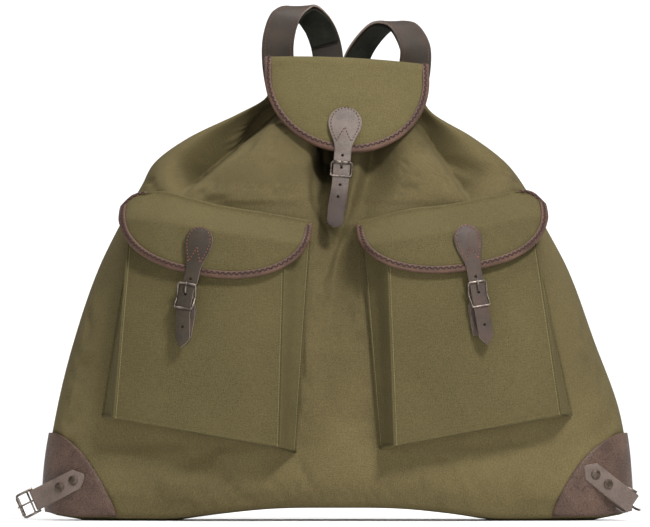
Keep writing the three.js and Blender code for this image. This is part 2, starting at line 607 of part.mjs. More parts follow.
// Bottom corners.
for (const [side, spec] of Object.entries(CORNERS)) {
  const { side: sign, reach, bar: barAt, along, turn, stand, tab, inner, outer } = spec;
  const patchRows = range(PATCH.rows).map((t) => lerp(9, PATCH.high, 1 - (1 - t) ** 1.5));
  const patchWidth = (z) => reach * Math.max(1 - ((z - 8) / (PATCH.high - 6)) ** 1.6, 0) ** 0.72;
  const patchAt = (z, k) => {
    const { half } = sackSpan(z);
    const swing = Math.acos(clamp(1 - patchWidth(z) / half, -1, 1)) * k * Math.sqrt(Math.abs(k));
    const u = sign * Math.cos(swing);
    const near = (du, dz) => {
      const angle = swing + du;
      return skin(sign * Math.cos(angle), z + dz, angle > 0);
    };
    const normal = near(0.03, 0).sub(near(-0.03, 0)).cross(near(0, 1.5).sub(near(0, -1))).multiplyScalar(-sign).normalize();
    return skin(u, z, swing > 0).addScaledVector(normal, -PATCH.off - PATCH.leather);
  };
  const sections = patchRows.map((z) => range(PATCH.columns, -1, 1).map((k) => patchAt(z, k * sign)));
  piece(`${side}_corner_patch`, thicken(new LoftGeometry(sections, { closed: false }), PATCH.leather), patchLeather);

  // The tab's own group: x along the tab towards the bag, z across it, -y out of its face.
  const group = new THREE.Group();
  const level = sackSpan(36);
  const touch = level.middle + sign * level.half * 0.84;
  const lean = Math.tan(rad(turn));
  group.position.set(barAt[0], frontOf(touch, 36) - stand + Math.abs(barAt[0] - touch) * lean, barAt[1]);
  const inPlane = new THREE.Quaternion().setFromAxisAngle(vec(0, -1, 0), sign < 0 ? rad(along) : rad(180 - along));
  const facing = new THREE.Quaternion().setFromAxisAngle(vec(0, 0, 1), rad(sign * turn));
  group.quaternion.copy(facing.multiply(inPlane));
  rig.add(group);

  const { half, point, back, ring, near, slit } = TAB;
  const folds = range(8, 90, 270).map((angle) => [Math.cos(rad(angle)) * ring, Math.sin(rad(angle)) * ring]);
  const tabPath = [[tab, near], [tab - point, near], [24, near], [10, 2.2], ...folds, [10, -2.2], [24, -near], [back, -near]];
  const widthAt = (i) => (i === 0 ? 1.5 : half);
  const band = sweep(stationsOf(tabPath.map(([a, n]) => vec(a, -n, 0)), () => vec(0, 0, 1)), (i) => strip(widthAt(i), -LEATHER / 2, LEATHER / 2));
  const notch = new THREE.BoxGeometry(12, 16, slit).translate(1, 0, 0);
  const rivetAt = { inner, outer };
  const bores = Object.values(rivetAt).map((a) => new THREE.CylinderGeometry(RIVET.shank + GAP, RIVET.shank + GAP, 4, 8).translate(a, -near, 0));
  piece(`${side}_corner_tab`, cut(band, sign < 0 ? [notch, ...bores] : bores), closureLeather, group);

  const face = near + LEATHER / 2 + 0.3;
  const { head, rise, shank } = RIVET;
  const profile = [[0, -LEATHER], [shank, -LEATHER], [shank, 0], [head, 0], [head * 0.98, 0.6], [head * 0.6, rise * 0.85], [0, rise]];
  for (const [place, a] of Object.entries(rivetAt)) {
    const rivet = new THREE.LatheGeometry(profile.map(([r, h]) => new THREE.Vector2(r, h)), 8);
    const mesh = piece(`${side}_corner_rivet_${place}`, rivet, steel, group);
    mesh.position.set(a, -face, 0);
    mesh.rotation.set(Math.PI, 0, 0);
  }

  if (sign < 0) {
    const { wire: thick, half: armAt, keeper, far, roller, prong } = CORNER_BUCKLE;
    const at = (a, z, n = 0) => vec(-a, -n, z);
    const frame = wire([at(0, -armAt), at(far, -armAt), at(far, armAt), at(0, armAt)], thick, { ring: true });
    const cross = wire([at(keeper, -armAt), at(keeper, armAt)], thick * 0.8);
    const tube = wire([at(far, 2.5 - armAt), at(far, armAt - 2.5)], roller, { sides: 9 });
    piece("corner_buckle", joined(frame, cross, tube), steel, group);
    const eye = thick + prong + 0.3;
    const path = [
      ...range(5, -100, 90).map((angle) => vec(Math.cos(rad(angle)) * eye, -Math.sin(rad(angle)) * eye, 0)),
      at(keeper, 0, 2.7), at(far, 0, roller + prong + 0.3), at(far + 2, 0, roller + prong),
    ];
    piece("corner_prong", wire(path, prong, { sides: 4, hint: vec(0, 0, 1) }), steel, group);
  } else {
    const { wire: thick, half: armAt, inward, behind, shank, nose } = HOOK;
    const at = (a, z, n) => vec(a, -n, z);
    const loop = [at(0, -armAt, 0), at(inward, -armAt, -behind), at(inward, armAt, -behind), at(0, armAt, 0)];
    const tongue = [
      at(inward + 0.3, 0, -behind + 0.3), at(inward * 0.5, 0, -shank), at(-nose * 0.75, 0, -shank), at(-nose, 0, -shank + 4), at(-nose, 0, -shank + 8),
    ];
    piece("corner_hook", joined(wire(loop, thick, { ring: true }), wire(tongue, thick, { hint: vec(0, 0, 1) })), steel, group);
  }
}

// Shoulder straps.
function strapGeometry(name, table, linedTo, tipLength, holes, turnRadius = 0) {
  const line = new THREE.CatmullRomCurve3(table.map(({ x, y, z }) => vec(x, y, z)), false, "centripetal");
  const points = line.getPoints(STRAP.steps);
  const tail = points[points.length - 1];
  const turned = range(3, -45, -180).map((angle) => [Math.cos(rad(angle)) * turnRadius, Math.sin(rad(angle)) * turnRadius]);
  const back = [...turned, ...RING.turned].map(([y, z]) => vec(tail.x, tail.y - turnRadius + y, tail.z + z));
  const path = turnRadius ? [...points, ...back] : points;
  const reached = range(STRAP.steps, 0, table.length - 1);
  const yawAt = track(table.map(({ yaw }, row) => ({ row, yaw })), "row", "yaw");
  const headingAt = (i) => rad(yawAt(reached[Math.min(i, STRAP.steps)]));
  const stations = stationsOf(path, (i) => vec(Math.cos(headingAt(i)), Math.sin(headingAt(i)), 0));
  const halfAt = (i) => {
    const left = path[i].distanceTo(tail);
    const full = lerp(STRAP.broad, STRAP.half, clamp(reached[Math.min(i, STRAP.steps)] / 6, 0, 1));
    return left < tipLength ? lerp(4, full, left / tipLength) : full;
  };
  const { leather, felt: feltThick, between } = STRAP;
  const outer = sweep(stations, (i) => strip(halfAt(i), between / 2, between / 2 + leather));
  const drills = holes.map((up) => new THREE.CylinderGeometry(2.5, 2.5, 20, 6).translate(tail.x, tail.y, tail.z + up));
  piece(name, drills.length ? cut(outer, drills) : outer, strapLeather);
  const lined = stations.slice(1, Math.round(STRAP.steps * linedTo));
  piece(`${name}_lining`, sweep(lined, (i) => strip(halfAt(i + 1) - 1.2, -between / 2 - feltThick, -between / 2)), felt);
  return tail;
}
strapGeometry("left_strap", LEFT_STRAP, 0.57, 18, [30, 55, 80]);
const turnRadius = RING.wire + RING.loose - STRAP.between / 2;
const ringAt = strapGeometry("right_strap", RIGHT_STRAP, 0.7, 0, [], turnRadius);
const ringPath = RING_OUTLINE.map(([x, z]) => vec(ringAt.x + x, ringAt.y - turnRadius, ringAt.z + z));
piece("right_strap_ring", wire(ringPath, RING.wire, { ring: true, sides: 6 }), steel);

rig.position.set(-MIDDLE.x, -MIDDLE.y, 0);

export default rig;
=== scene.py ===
import math
import bpy
import numpy as np
from mathutils import Matrix, Vector, noise


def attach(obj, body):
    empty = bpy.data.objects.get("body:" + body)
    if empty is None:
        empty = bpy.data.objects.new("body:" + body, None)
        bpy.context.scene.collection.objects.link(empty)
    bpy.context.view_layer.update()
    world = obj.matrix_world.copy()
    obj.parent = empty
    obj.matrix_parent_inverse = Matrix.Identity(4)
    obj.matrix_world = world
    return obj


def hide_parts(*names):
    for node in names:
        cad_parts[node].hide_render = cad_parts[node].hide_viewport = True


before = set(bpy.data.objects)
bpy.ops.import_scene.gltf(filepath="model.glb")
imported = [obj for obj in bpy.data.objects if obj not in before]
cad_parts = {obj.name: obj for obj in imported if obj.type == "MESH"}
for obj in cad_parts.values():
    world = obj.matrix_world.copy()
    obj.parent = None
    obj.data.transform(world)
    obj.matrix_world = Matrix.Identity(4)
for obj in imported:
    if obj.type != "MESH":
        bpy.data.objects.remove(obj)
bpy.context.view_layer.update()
mm = 0.001

# Camera: straight on, far enough away that the front lies in the frame as it does in the photo
cameraSettings = {"pixelMm": 1.015, "zeroPixel": (337, 520), "centrePixel": (325, 263.5),
                  "plane": 14.3, "distance": 24.0, "sensor": 36.0, "width": 650, "sees": 100}
frameShift = np.array((9.1, 14.3, 0.0))  # from the bag's own middle to the frame's origin


def addObject(name, data):
    made = bpy.data.objects.new(name, data)
    bpy.context.scene.collection.objects.link(made)
    return made


def placeCamera(settings):
    scale, zero, centre = (settings[k] for k in ("pixelMm", "zeroPixel", "centrePixel"))
    across, up = (centre[0] - zero[0]) * scale + frameShift[0], (zero[1] - centre[1]) * scale
    data = bpy.data.cameras.new("photoCamera")
    camera = addObject("photoCamera", data)
    camera.location = (across * mm, settings["plane"] * mm - settings["distance"], up * mm)
    camera.rotation_euler = (math.radians(90), 0, 0)
    data.sensor_width = settings["sensor"]
    data.lens = settings["sensor"] * settings["distance"] / (settings["width"] * scale * mm)
    data.clip_end = settings["sees"]
    bpy.context.scene.camera = camera


placeCamera(cameraSettings)
print("camera placed")


# Small tools for smooth lines, meshes and pieces

def smooth(t):
    t = np.clip(t, 0, 1)
    return t * t * (3 - 2 * t)


def lerp(a, b, t):
    return a + (b - a) * t


def unit(way):
    return way / np.linalg.norm(way, axis=-1, keepdims=True)


def table(columns, *rows):
    return [dict(zip(columns.split(), row)) for row in rows]


def lineThrough(rows, by, value, samples=1600):  # a smooth line through two columns of a table
    ts, vs = [row[by] for row in rows], [row[value] for row in rows]
    dense = np.linspace(ts[0], ts[-1], samples)
    out = []
    for t in dense:
        i = max(1, min(int(np.searchsorted(ts, t, side="right")), len(ts) - 1))
        t0, t1, v0, v1 = ts[i - 1], ts[i], vs[i - 1], vs[i]
        tp, vp = (ts[i - 2], vs[i - 2]) if i > 1 else (t1, v1)
        tn, vn = (ts[i + 1], vs[i + 1]) if i + 1 < len(ts) else (t0, v0)
        half = (t1 - t0) / 2
        wp, wn = half / (t0 - tp), half / (tn - t1)
        p = (t - t0) / (t1 - t0)
        out.append((-wp * p ** 3 + 2 * wp * p * p - wp * p) * vp
                   + ((1 + wp) * p ** 3 + (-1.5 - 2 * wp) * p * p + (-0.5 + wp) * p + 1) * v0
                   + ((-1 - wn) * p ** 3 + (1.5 + wn) * p * p + 0.5 * p) * v1
                   + (wn * p ** 3 - wn * p * p) * vn)
    return lambda t: np.interp(t, dense, out)


def only(piece):
    bpy.ops.object.select_all(action="DESELECT")
    piece.select_set(True)
    bpy.context.view_layer.objects.active = piece


def applied(piece, kind, **settings):
    only(piece)
    modifier = piece.modifiers.new(kind.lower(), kind)
    for key, value in settings.items():
        setattr(modifier, key, value)
    bpy.ops.object.modifier_apply(modifier=modifier.name)
    return piece


def edited(piece, *steps):  # operators on the whole mesh, each with its settings
    only(piece)
    bpy.ops.object.mode_set(mode="EDIT")
    bpy.ops.mesh.select_all(action="SELECT")
    for step, settings in steps:
        step(**settings)
    bpy.ops.object.mode_set(mode="OBJECT")
    return piece


def tied(piece, points):  # an edge or a face between some points of a mesh
    edited(piece, (bpy.ops.mesh.select_all, {"action": "DESELECT"}))
    for k in points:
        piece.data.vertices[k].select = True
    bpy.ops.object.mode_set(mode="EDIT")
    bpy.ops.mesh.edge_face_add()
    bpy.ops.object.mode_set(mode="OBJECT")


def joined(piece, *others):
    only(piece)
    for other in others:
        other.select_set(True)
    bpy.ops.object.join()
    return piece


def finishPiece(piece, body, slot, material, *replaced):
    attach(piece, body)
    if not piece.data.materials:
        piece.data.materials.append(material)
    if replaced:
        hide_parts(*replaced)
    return piece


def meshPiece(name, points, faces, uvs=None):  # points in mm about the bag's own middle
    mesh = bpy.data.meshes.new(name)
    mesh.from_pydata(((np.asarray(points, float) + frameShift) * mm).tolist(), [], faces)
    if uvs is not None:
        layer = mesh.uv_layers.new(name="weave")
        for loop in mesh.loops:
            layer.data[loop.index].uv = uvs[loop.vertex_index]
    mesh.validate()
    mesh.polygons.foreach_set("use_smooth", [True] * len(mesh.polygons))
    return addObject(name, mesh)


def gridFaces(rows, columns, closed=False, flip=False):
    faces = []
    for i in range(rows - 1):
        for j in range(columns if closed else columns - 1):
            k = (j + 1) % columns
            face = (i * columns + j, i * columns + k, (i + 1) * columns + k, (i + 1) * columns + j)
            faces.append(face[::-1] if flip else face)
    return faces


def tubeFaces(rows, columns):  # a closed tube with both ends filled
    end = tuple(range(columns))
    return gridFaces(rows, columns, closed=True) + [end[::-1], tuple((rows - 1) * columns + k for k in end)]


def gridUvs(grid):  # real lengths in mm across and along, so that the weave keeps its scale
    steps = [np.linalg.norm(np.diff(grid, axis=k), axis=2) for k in (0, 1)]
    along, across = [np.insert(np.cumsum(step, axis=k), 0, 0, axis=k) for k, step in enumerate(steps)]
    across -= across[:, across.shape[1] // 2][:, None]
    return np.stack([across, along], axis=2).reshape(-1, 2)


def gridPiece(name, grid, closed=False, flip=False):
    rows, columns = grid.shape[:2]
    return meshPiece(name, grid.reshape(-1, 3), gridFaces(rows, columns, closed, flip), gridUvs(grid))


def bandPiece(name, stations, halves, low, high, rounding, face=None, edge=None):  # a rounded strip
    points = []
    quarter = np.radians((0, 30, 60, 90))
    turns = ((-1, 1, quarter), (1, 1, quarter[::-1]), (1, -1, quarter), (-1, -1, quarter[::-1]))
    for (middle, across, out), half in zip(stations, halves):
        r = min(rounding, half * 0.45, (high - low) * 0.48)
        for side, level, angles in turns:
            rim = high - r if level > 0 else low + r
            for a in angles:
                aside, away = side * (half - r + r * math.cos(a)), rim + level * r * math.sin(a)
                points.append(middle + across * aside + out * away)
    count = len(turns) * len(quarter)
    piece = meshPiece(name, points, tubeFaces(len(stations), count))
    if face:
        piece.data.materials.append(face)
        piece.data.materials.append(edge)
        sides, rawOnes = (len(stations) - 1) * count, (0, 6, 7, 8, 14, 15)
        for polygon in piece.data.polygons:  # the cut edges and both ends are raw
            polygon.material_index = int(polygon.index >= sides or polygon.index % count in rawOnes)
    return piece


def stationsAlong(points, hints):  # middle, way across and way out at each point of a path
    stations = []
    for i, middle in enumerate(points):
        way = unit(points[min(i + 1, len(points) - 1)] - points[max(i - 1, 0)])
        across = np.asarray(hints[i], float)
        across = unit(across - way * across.dot(way))
        stations.append((middle, across, np.cross(across, way)))
    return stations


wireSettings = {"bend": 1.6, "sides": 4, "merge": 0.00001}


def wirePiece(name, path, radius, ring=False, turns=3):  # a bent wire: a path, rounded, then made thick
    path = (np.asarray(path) + frameShift) * mm
    bpy.ops.object.select_all(action="DESELECT")
    bpy.ops.mesh.primitive_plane_add(size=mm)
    piece = bpy.context.object
    bpy.ops.object.mode_set(mode="EDIT")
    bpy.ops.mesh.merge(type="CENTER")
    bpy.ops.transform.translate(value=tuple(path[0]))
    for step in np.diff(path, axis=0):
        bpy.ops.mesh.extrude_region_move(TRANSFORM_OT_translate={"value": tuple(step)})
    bpy.ops.object.mode_set(mode="OBJECT")
    if ring:
        tied(piece, (0, len(path) - 1))
    edited(piece, (bpy.ops.mesh.bevel, {"offset": radius * wireSettings["bend"] * mm, "segments": turns,
                                        "affect": "VERTICES"}))
    bpy.ops.object.convert(target="CURVE")
    curve = bpy.context.object.data
    curve.bevel_depth, curve.bevel_resolution, curve.use_fill_caps = radius * mm, wireSettings["sides"], True
    bpy.ops.object.convert(target="MESH")
    piece = bpy.context.object
    piece.name = piece.data.name = name
    return edited(piece, (bpy.ops.mesh.remove_doubles, {"threshold": wireSettings["merge"]}),
                  (bpy.ops.mesh.normals_make_consistent, {"inside": False}),
                  (bpy.ops.mesh.faces_shade_smooth, {}))


def stitchPiece(name, runs, length, radius):  # one thread shape, copied along each run of (place, way, out)
    ring = [(math.cos(a), math.sin(a)) for a in np.radians(range(0, 360, 60))]
    profile = [(-0.5, 0.35), (-0.3, 0.95), (0.3, 0.95), (0.5, 0.35)]
    shell = tubeFaces(len(profile), len(ring))
    points, faces = [], []
    for place, way, out in runs:
        base, side = len(points), np.cross(way, out)
        for along, share in profile:
            middle, wide = place + way * (along * length), radius * share
            points += [middle + (side * c + out * s) * wide for c, s in ring]
        faces += [tuple(base + k for k in face[::-1]) for face in shell]
    return meshPiece(name, points, faces)


def stitchRuns(path, outs, pitch, lift=0.0, lean=0.0):  # evenly spaced along a path, a zigzag if they lean
    path, outs = np.asarray(path, float), np.asarray(outs, float)
    gone = np.insert(np.cumsum(np.linalg.norm(np.diff(path, axis=0), axis=1)), 0, 0)

    def read(values, s):
        return np.array([np.interp(s, gone, column) for column in values.T])

    runs = []
    for index, s in enumerate(np.arange(pitch * 0.6, gone[-1], pitch)):
        way, out = unit(read(path, s + 0.5) - read(path, s - 0.5)), read(outs, s)
        out = unit(out - way * out.dot(way))
        side = np.cross(way, out) * (-1) ** index
        runs.append((read(path, s) + out * lift, way * math.cos(lean) + side * math.sin(lean), out))
    return runs


# Materials

def fillSockets(node, values):  # a Tone is linked, a number or colour is set
    for key, value in values.items():
        if isinstance(value, Tone):
            value.tree.links.new(value.socket, node.inputs[key])
        else:
            node.inputs[key].default_value = value


class Tone:  # one socket of a material, so that sums are written as Python
    def __init__(self, tree, socket=None):
        self.tree, self.socket = tree, socket

    def node(self, kind, settings=None, values=None, out=0):
        made = self.tree.nodes.new(kind)
        for key, value in (settings or {}).items():
            setattr(made, key, value)
        fillSockets(made, values or {})
        return Tone(self.tree, made.outputs[out])

    def sum(self, operation, a, b=0.0):
        return self.node("ShaderNodeMath", {"operation": operation}, {0: a, 1: b})

    def __add__(self, other):
        return self.sum("ADD", self, other)

    def __sub__(self, other):
        return self.sum("SUBTRACT", self, other)

    def __rsub__(self, other):
        return self.sum("SUBTRACT", other, self)

    def __mul__(self, other):
        return self.sum("MULTIPLY", self, other)

    __radd__, __rmul__ = __add__, __mul__

    def place(self):
        return self.node("ShaderNodeTexCoord", out="Object")

    def part(self, axis):
        return self.node("ShaderNodeSeparateXYZ", None, {0: self}, out=axis)

    def scaled(self, x, y, z):
        return self.node("ShaderNodeMapping", None, {"Vector": self, "Scale": (x, y, z)})

    def noise(self, scale, detail=3.0, rough=0.55):
        return self.node("ShaderNodeTexNoise", None,
                         {"Vector": self, "Scale": scale, "Detail": detail, "Roughness": rough})

    def between(self, low, high):  # 0 below low, 1 above high, smooth between
        return self.node("ShaderNodeMapRange", {"interpolation_type": "SMOOTHSTEP"},
                         {"Value": self, "From Min": low, "From Max": high})

    def blend(self, first, second):  # mixes two colours by this value
        return self.node("ShaderNodeMix", {"data_type": "RGBA"}, {0: self, 6: first, 7: second}, out=2)

    def tinted(self, light, dark, place, changed=None):  # changed: a height, its reach, shares below it
        colour = self.blend(dark, light)
        if not changed:
            return colour
        height, reach, shares = changed
        low = self.blend(*[tuple(v * k for v, k in zip(c, (*shares, 1))) for c in (dark, light)])
        return place.part(2).between(height - reach, height + reach).blend(low, colour)

    def bump(self, strength, distance):
        return self.node("ShaderNodeBump", None,
                         {"Strength": strength, "Distance": distance, "Height": self})


def newMaterial(name):
    material = bpy.data.materials.new(name)
    material.use_nodes = True
    return material, Tone(material.node_tree), material.node_tree.nodes["Principled BSDF"]


def linear(r, g, b):  # a colour given as it looks on a screen
    def one(v):
        return v / 12.92 if v <= 0.04045 else ((v + 0.055) / 1.055) ** 2.4
    return (*[one(v / 255) for v in (r, g, b)], 1)


weaveSettings = {"pitch": 0.9, "slub": (0.9, 0.11), "shades": (0.36, 0.94)}


def canvasMaterial(name, light, dark, changed=None):  # plain weave from the piece's own lengths in mm
    material, start, shader = newMaterial(name)
    uv, place = start.node("ShaderNodeUVMap", {"uv_map": "weave"}), start.place()
    warp, weft = [start.sum("SINE", uv.part(k) * (2 * math.pi / weaveSettings["pitch"])) for k in (0, 1)]
    threads = warp * weft * 0.5 + 0.5
    fine, long = weaveSettings["slub"]
    slub = uv.scaled(fine, long, 1).noise(1.0) * 0.5 + uv.scaled(long, fine, 1).noise(1.0) * 0.5
    mottle, fleck = place.noise(9.0, 4.0, 0.6), uv.noise(0.75, 2.0, 0.7)
    shade = threads * 0.06 + slub * 0.4 + mottle * 0.22 + fleck * 0.62
    height = threads * 0.3 + slub * 0.5 + fleck * 0.7
    colour = shade.between(*weaveSettings["shades"]).tinted(light, dark, place, changed)
    fillSockets(shader, {"Base Color": colour, "Normal": height.bump(0.55, 0.0006), "Roughness": 0.95,
                         "Specular IOR Level": 0.15, "Sheen Weight": 0.05, "Sheen Roughness": 0.5,
                         "Sheen Tint": light})
    return material


def leatherMaterial(name, light, dark, grain, rough, coarse=0.5, changed=None):
    material, start, shader = newMaterial(name)
    place = start.place()
    cells = place.node("ShaderNodeTexVoronoi", {"feature": "DISTANCE_TO_EDGE"},
                       {"Vector": place, "Scale": grain, "Randomness": 1.0})
    creases = 1 - cells.between(0.0, 0.16)
    cloud, pores = place.noise(38.0, 5.0, 0.62), place.noise(grain * 1.7, 3.0, 0.7)
    shade = cloud * 0.75 + pores * 0.45 - creases * 0.22 * coarse
    height = pores * 0.5 - creases * coarse + cloud * 0.4
    fillSockets(shader, {"Base Color": shade.between(0.25, 0.85).tinted(light, dark, place, changed),
                         "Roughness": cloud * 0.22 + (rough - 0.1) + creases * 0.1,
                         "Normal": height.bump(0.5, 0.0005), "Specular IOR Level": 0.4})
    return material


def feltMaterial(name, light, dark):
    material, start, shader = newMaterial(name)
    place = start.place()
    fibre, cloud = place.noise(900.0, 4.0, 0.75), place.noise(60.0)
    fillSockets(shader, {"Base Color": (fibre * 0.7 + cloud * 0.5).between(0.35, 0.85).blend(dark, light),
                         "Normal": fibre.bump(0.7, 0.0006), "Roughness": 1.0, "Specular IOR Level": 0.1})
    return material


def metalMaterial(name, light, dark, rough):
    material, start, shader = newMaterial(name)
    place = start.place()
    cloud, specks = place.noise(160.0, 4.0, 0.6), place.noise(700.0, 3.0, 0.7)
    fillSockets(shader, {"Base Color": (cloud * 0.8 + specks * 0.35).between(0.35, 0.8).blend(dark, light),
                         "Roughness": specks * 0.25 + (rough - 0.1), "Normal": specks.bump(0.15, 0.0003),
                         "Metallic": 1.0})
    return material


def threadMaterial(name, light, dark):
    material, start, shader = newMaterial(name)
    ply = start.place().noise(1500.0, 3.0, 0.6)
    fillSockets(shader, {"Base Color": ply.between(0.3, 0.7).blend(dark, light), "Roughness": 0.85})
    return material


# the sack's canvas is painted up to 1.24 times lighter below about 14 cm, fading out between 4 and 24 cm:
# painted light standing in for frontal light on the low front
bodyCanvas = canvasMaterial("bodyCanvas", linear(109, 98, 66), linear(67, 59, 39),
                            (0.14, 0.1, (1.24, 1.24, 1.24)))
lidCanvas = canvasMaterial("lidCanvas", linear(110, 100, 66), linear(70, 63, 40))
pocketCanvas = canvasMaterial("pocketCanvas", linear(104, 94, 62), linear(64, 57, 37))
bindingLeather = leatherMaterial("bindingLeather", linear(102, 73, 58), linear(58, 39, 30), 900, 0.55)
closureLeather = leatherMaterial("closureLeather", linear(82, 65, 55), linear(46, 35, 29), 750, 0.45)
darkLeather = leatherMaterial("darkLeather", linear(61, 50, 35), linear(33, 26, 17), 750, 0.5)
paleLeather = leatherMaterial("paleLeather", linear(116, 103, 95), linear(66, 56, 50), 750, 0.45,
                              changed=(0.335, 0.012, (0.34, 0.27, 0.24)))
patchLeather = leatherMaterial("patchLeather", linear(104, 80, 66), linear(58, 41, 32), 420, 0.5, 1.0)
tabLeather = leatherMaterial("tabLeather", linear(118, 102, 93), linear(72, 60, 53), 800, 0.42)
strapLeather = leatherMaterial("strapLeather", linear(67, 54, 43), linear(37, 29, 23), 800, 0.5,
                               changed=(0.486, 0.016, (0.74, 0.74, 0.62)))
rawEdge = leatherMaterial("rawEdge", linear(150, 136, 126), linear(96, 80, 70), 900, 0.7)
felt = feltMaterial("felt", linear(48, 48, 42), linear(26, 27, 23))
buckleMetal = metalMaterial("buckleMetal", linear(150, 138, 128), linear(62, 55, 50), 0.38)
rivetMetal = metalMaterial("rivetMetal", linear(112, 99, 89), linear(58, 49, 43), 0.55)
brownThread = threadMaterial("brownThread", linear(62, 38, 31), linear(34, 21, 18))
strapThread = threadMaterial("strapThread", linear(116, 74, 58), linear(70, 44, 35))
orangeThread = threadMaterial("orangeThread", linear(136, 80, 58), linear(92, 52, 38))
darkThread = threadMaterial("darkThread", linear(92, 52, 38), linear(54, 30, 22))
oliveThread = threadMaterial("oliveThread", linear(128, 118, 80), linear(98, 89, 58))
print("materials made")


# The sack: side seams and depth at each level, then its folds

sackLevels = table("z left right front back", (8, -293, 296, 90, 70), (36, -295.5, 296.5, 99, 77),
                   (109, -285, 287, 106, 81), (182, -267, 261, 110, 81), (255, -242, 234, 105, 78),
                   (304, -218, 208, 97, 74), (340, -198, 189, 87, 70), (364, -184, 170, 78, 66),
                   (389, -149, 137, 66, 61), (413, -99, 97, 54, 56), (427, -74, 87, 46, 52),
                   (438, -69, 82, 43, 50), (452, -74, 85, 47, 52))
baseLifts = table("x lift", (-300, 5), (-262, 0), (-170, 0), (-125, 6), (-65, 12), (0, 13), (65, 12),
                  (115, 7), (165, 0), (262, 0), (300, 5))
mainFolds = table("topX topZ footX footZ depth left right",
                  (-10, 372, -3, 190, 34, 9, 15), (31, 366, 27, 245, 17, 9, 22),
                  (-61, 413, -140, 326, 15, 42, 5), (81, 404, 127, 322, 15, 5, 42),
                  (262, 88, 150, 8, 6, 22, 12), (-30, 100, -90, 20, 4, 18, 18))
neckFolds = table("topX topZ footX footZ depth left right", (-12, 368, -11, 338, 76, 7.5, 10),
                  (37, 378, 27, 296, 20, 6, 18), (112, 362, 176, 333, 6, 8, 34),
                  (22, 330, 36, 190, 5, 8, 12), (-150, 60, -230, 12, 4, 26, 20))
neckPleats = table("fromX fromZ toX toZ depth near far sharp ends side",
                   (-55, 417, -146, 340, 62, 46, 60, 2.2, 0.9, 1),
                   (78, 408, 133, 326, 40, 50, 56, 2.0, 0.85, -1))
neckRuns = [table("z x depth left right", *rows) for rows in (
    ((285, -3, 0, 3, 6), (296, -11, 7, 3, 9), (309, -18.5, 9, 3, 14), (323, -23.5, 9, 3, 16),
     (338, -25, 8, 3, 16), (352, -24, 0, 3, 16)),
    ((292, 3, 0, 5, 5), (308, 9.5, -5, 5, 5), (328, 14.5, -6, 5, 6), (350, 21.8, -5, 5, 6),
     (374, 24.5, 0, 5, 6)),
    ((195, -4, 0, 5, 24), (225, -4, 7, 5, 24), (245, -3, 9, 5, 24), (267, 1, 10, 5, 22), (285, 8, 9, 5, 18),
     (300, 14, 0, 5, 14)),
    ((282, -3, 0, 10, 10), (298, -3, -13, 11, 11), (315, -4, -19, 13, 12), (332, -5, -20, 13, 13),
     (342, -6, -14, 12, 14), (352, -6, 0, 10, 14)))]
sackSettings = {"low": 8, "high": 452, "dense": 300, "frontFull": 2.3, "backFull": 3.0, "rimReach": 60.0,
                "edgeLift": 4.0, "canvas": 1.6, "foldRoom": 4.0, "foldReach": 0.35, "saddle": 0.86,
                "saddleSlope": 0.8, "frontColumns": 212, "backColumns": 58, "rings": 150, "baseRings": 12,
                "ripple": (1.5, 55.0, 3.0)}
clothSettings = {"frames": 20, "most": 4.5, "step": 3,
                 "cloth": {"vertex_group_mass": "held", "quality": 5, "mass": 0.25,
                           "tension_stiffness": 12.0, "compression_stiffness": 12.0, "shear_stiffness": 4.8,
                           "bending_stiffness": 0.6, "use_pressure": True, "uniform_pressure_force": 4.0,
                           "shrink_min": -0.015}}
heldSettings = {"seam": 0.985, "low": 18, "high": 428, "lid": (325, 392, 62), "pleat": 8, "run": 5,
                "pockets": table("sign low high outerLow outerHigh innerLow innerHigh",
                                 (-1, 68, 322, 262, 232, 40, 20), (1, 68, 322, 262, 228, 40, 20))}

sackLeft, sackRight, sackFront, sackBack = [lineThrough(sackLevels, "z", k)
                                            for k in ("left", "right", "front", "back")]
liftLine = lineThrough(baseLifts, "x", "lift")


def baseLift(x):
    return np.maximum(liftLine(x), 0)


def foldDepth(x, z, folds):
    total = np.zeros(np.broadcast(x, z).shape)
    for fold in folds:
        t = (fold["topZ"] - z) / (fold["topZ"] - fold["footZ"])
        off = x - lerp(fold["topX"], fold["footX"], np.clip(t, -0.3, 1))
        spread = np.where(off < 0, fold["left"], fold["right"]) * (1 + np.maximum(t, 0))
        total = total + np.where(t > 1, 0, fold["depth"] * (1 - smooth(t)) * np.exp(-(off / spread) ** 2))
    return total


def pleatDepth(x, z, pleats):  # a crease with a valley on one side of it that rises slowly again
    total = np.zeros(np.broadcast(x, z).shape)
    for pleat in pleats:
        along = np.array((pleat["toX"] - pleat["fromX"], pleat["toZ"] - pleat["fromZ"]))
        length = np.hypot(*along)
        along = along / length
        right, up = x - pleat["fromX"], z - pleat["fromZ"]
        gone = (right * along[0] + up * along[1]) / length
        off = pleat["side"] * (right * along[1] - up * along[0])
        wide = lerp(pleat["near"], pleat["far"], np.clip(gone, 0, 1))
        rise = np.where(off < 0, np.exp(-(off / pleat["sharp"]) ** 2), np.clip(1 - off / wide, 0, 1) ** 1.3)
        total = total + pleat["depth"] * rise * (1 - smooth((gone - pleat["ends"]) / 0.32))
    return total


def runDepth(x, z, runs):  # valleys and ridges that follow a bent line down the front
    total = np.zeros(np.broadcast(x, z).shape)
    for run in runs:
        levels = [row["z"] for row in run]
        at, depth, left, right = [np.interp(z, levels, [row[k] for row in run])
                                  for k in ("x", "depth", "left", "right")]
        off = x - at
        total = total + depth * np.exp(-(off / np.where(off < 0, left, right)) ** 2)
    return total


def sackSpan(z):
    left, right = sackLeft(z), sackRight(z)
    return (left + right) / 2, (right - left) / 2


def sackShare(x, z):  # 0 in the middle of the sack, 1 at its side seams
    middle, half = sackSpan(z)
    return np.minimum(np.abs((x - middle) / half), 1)


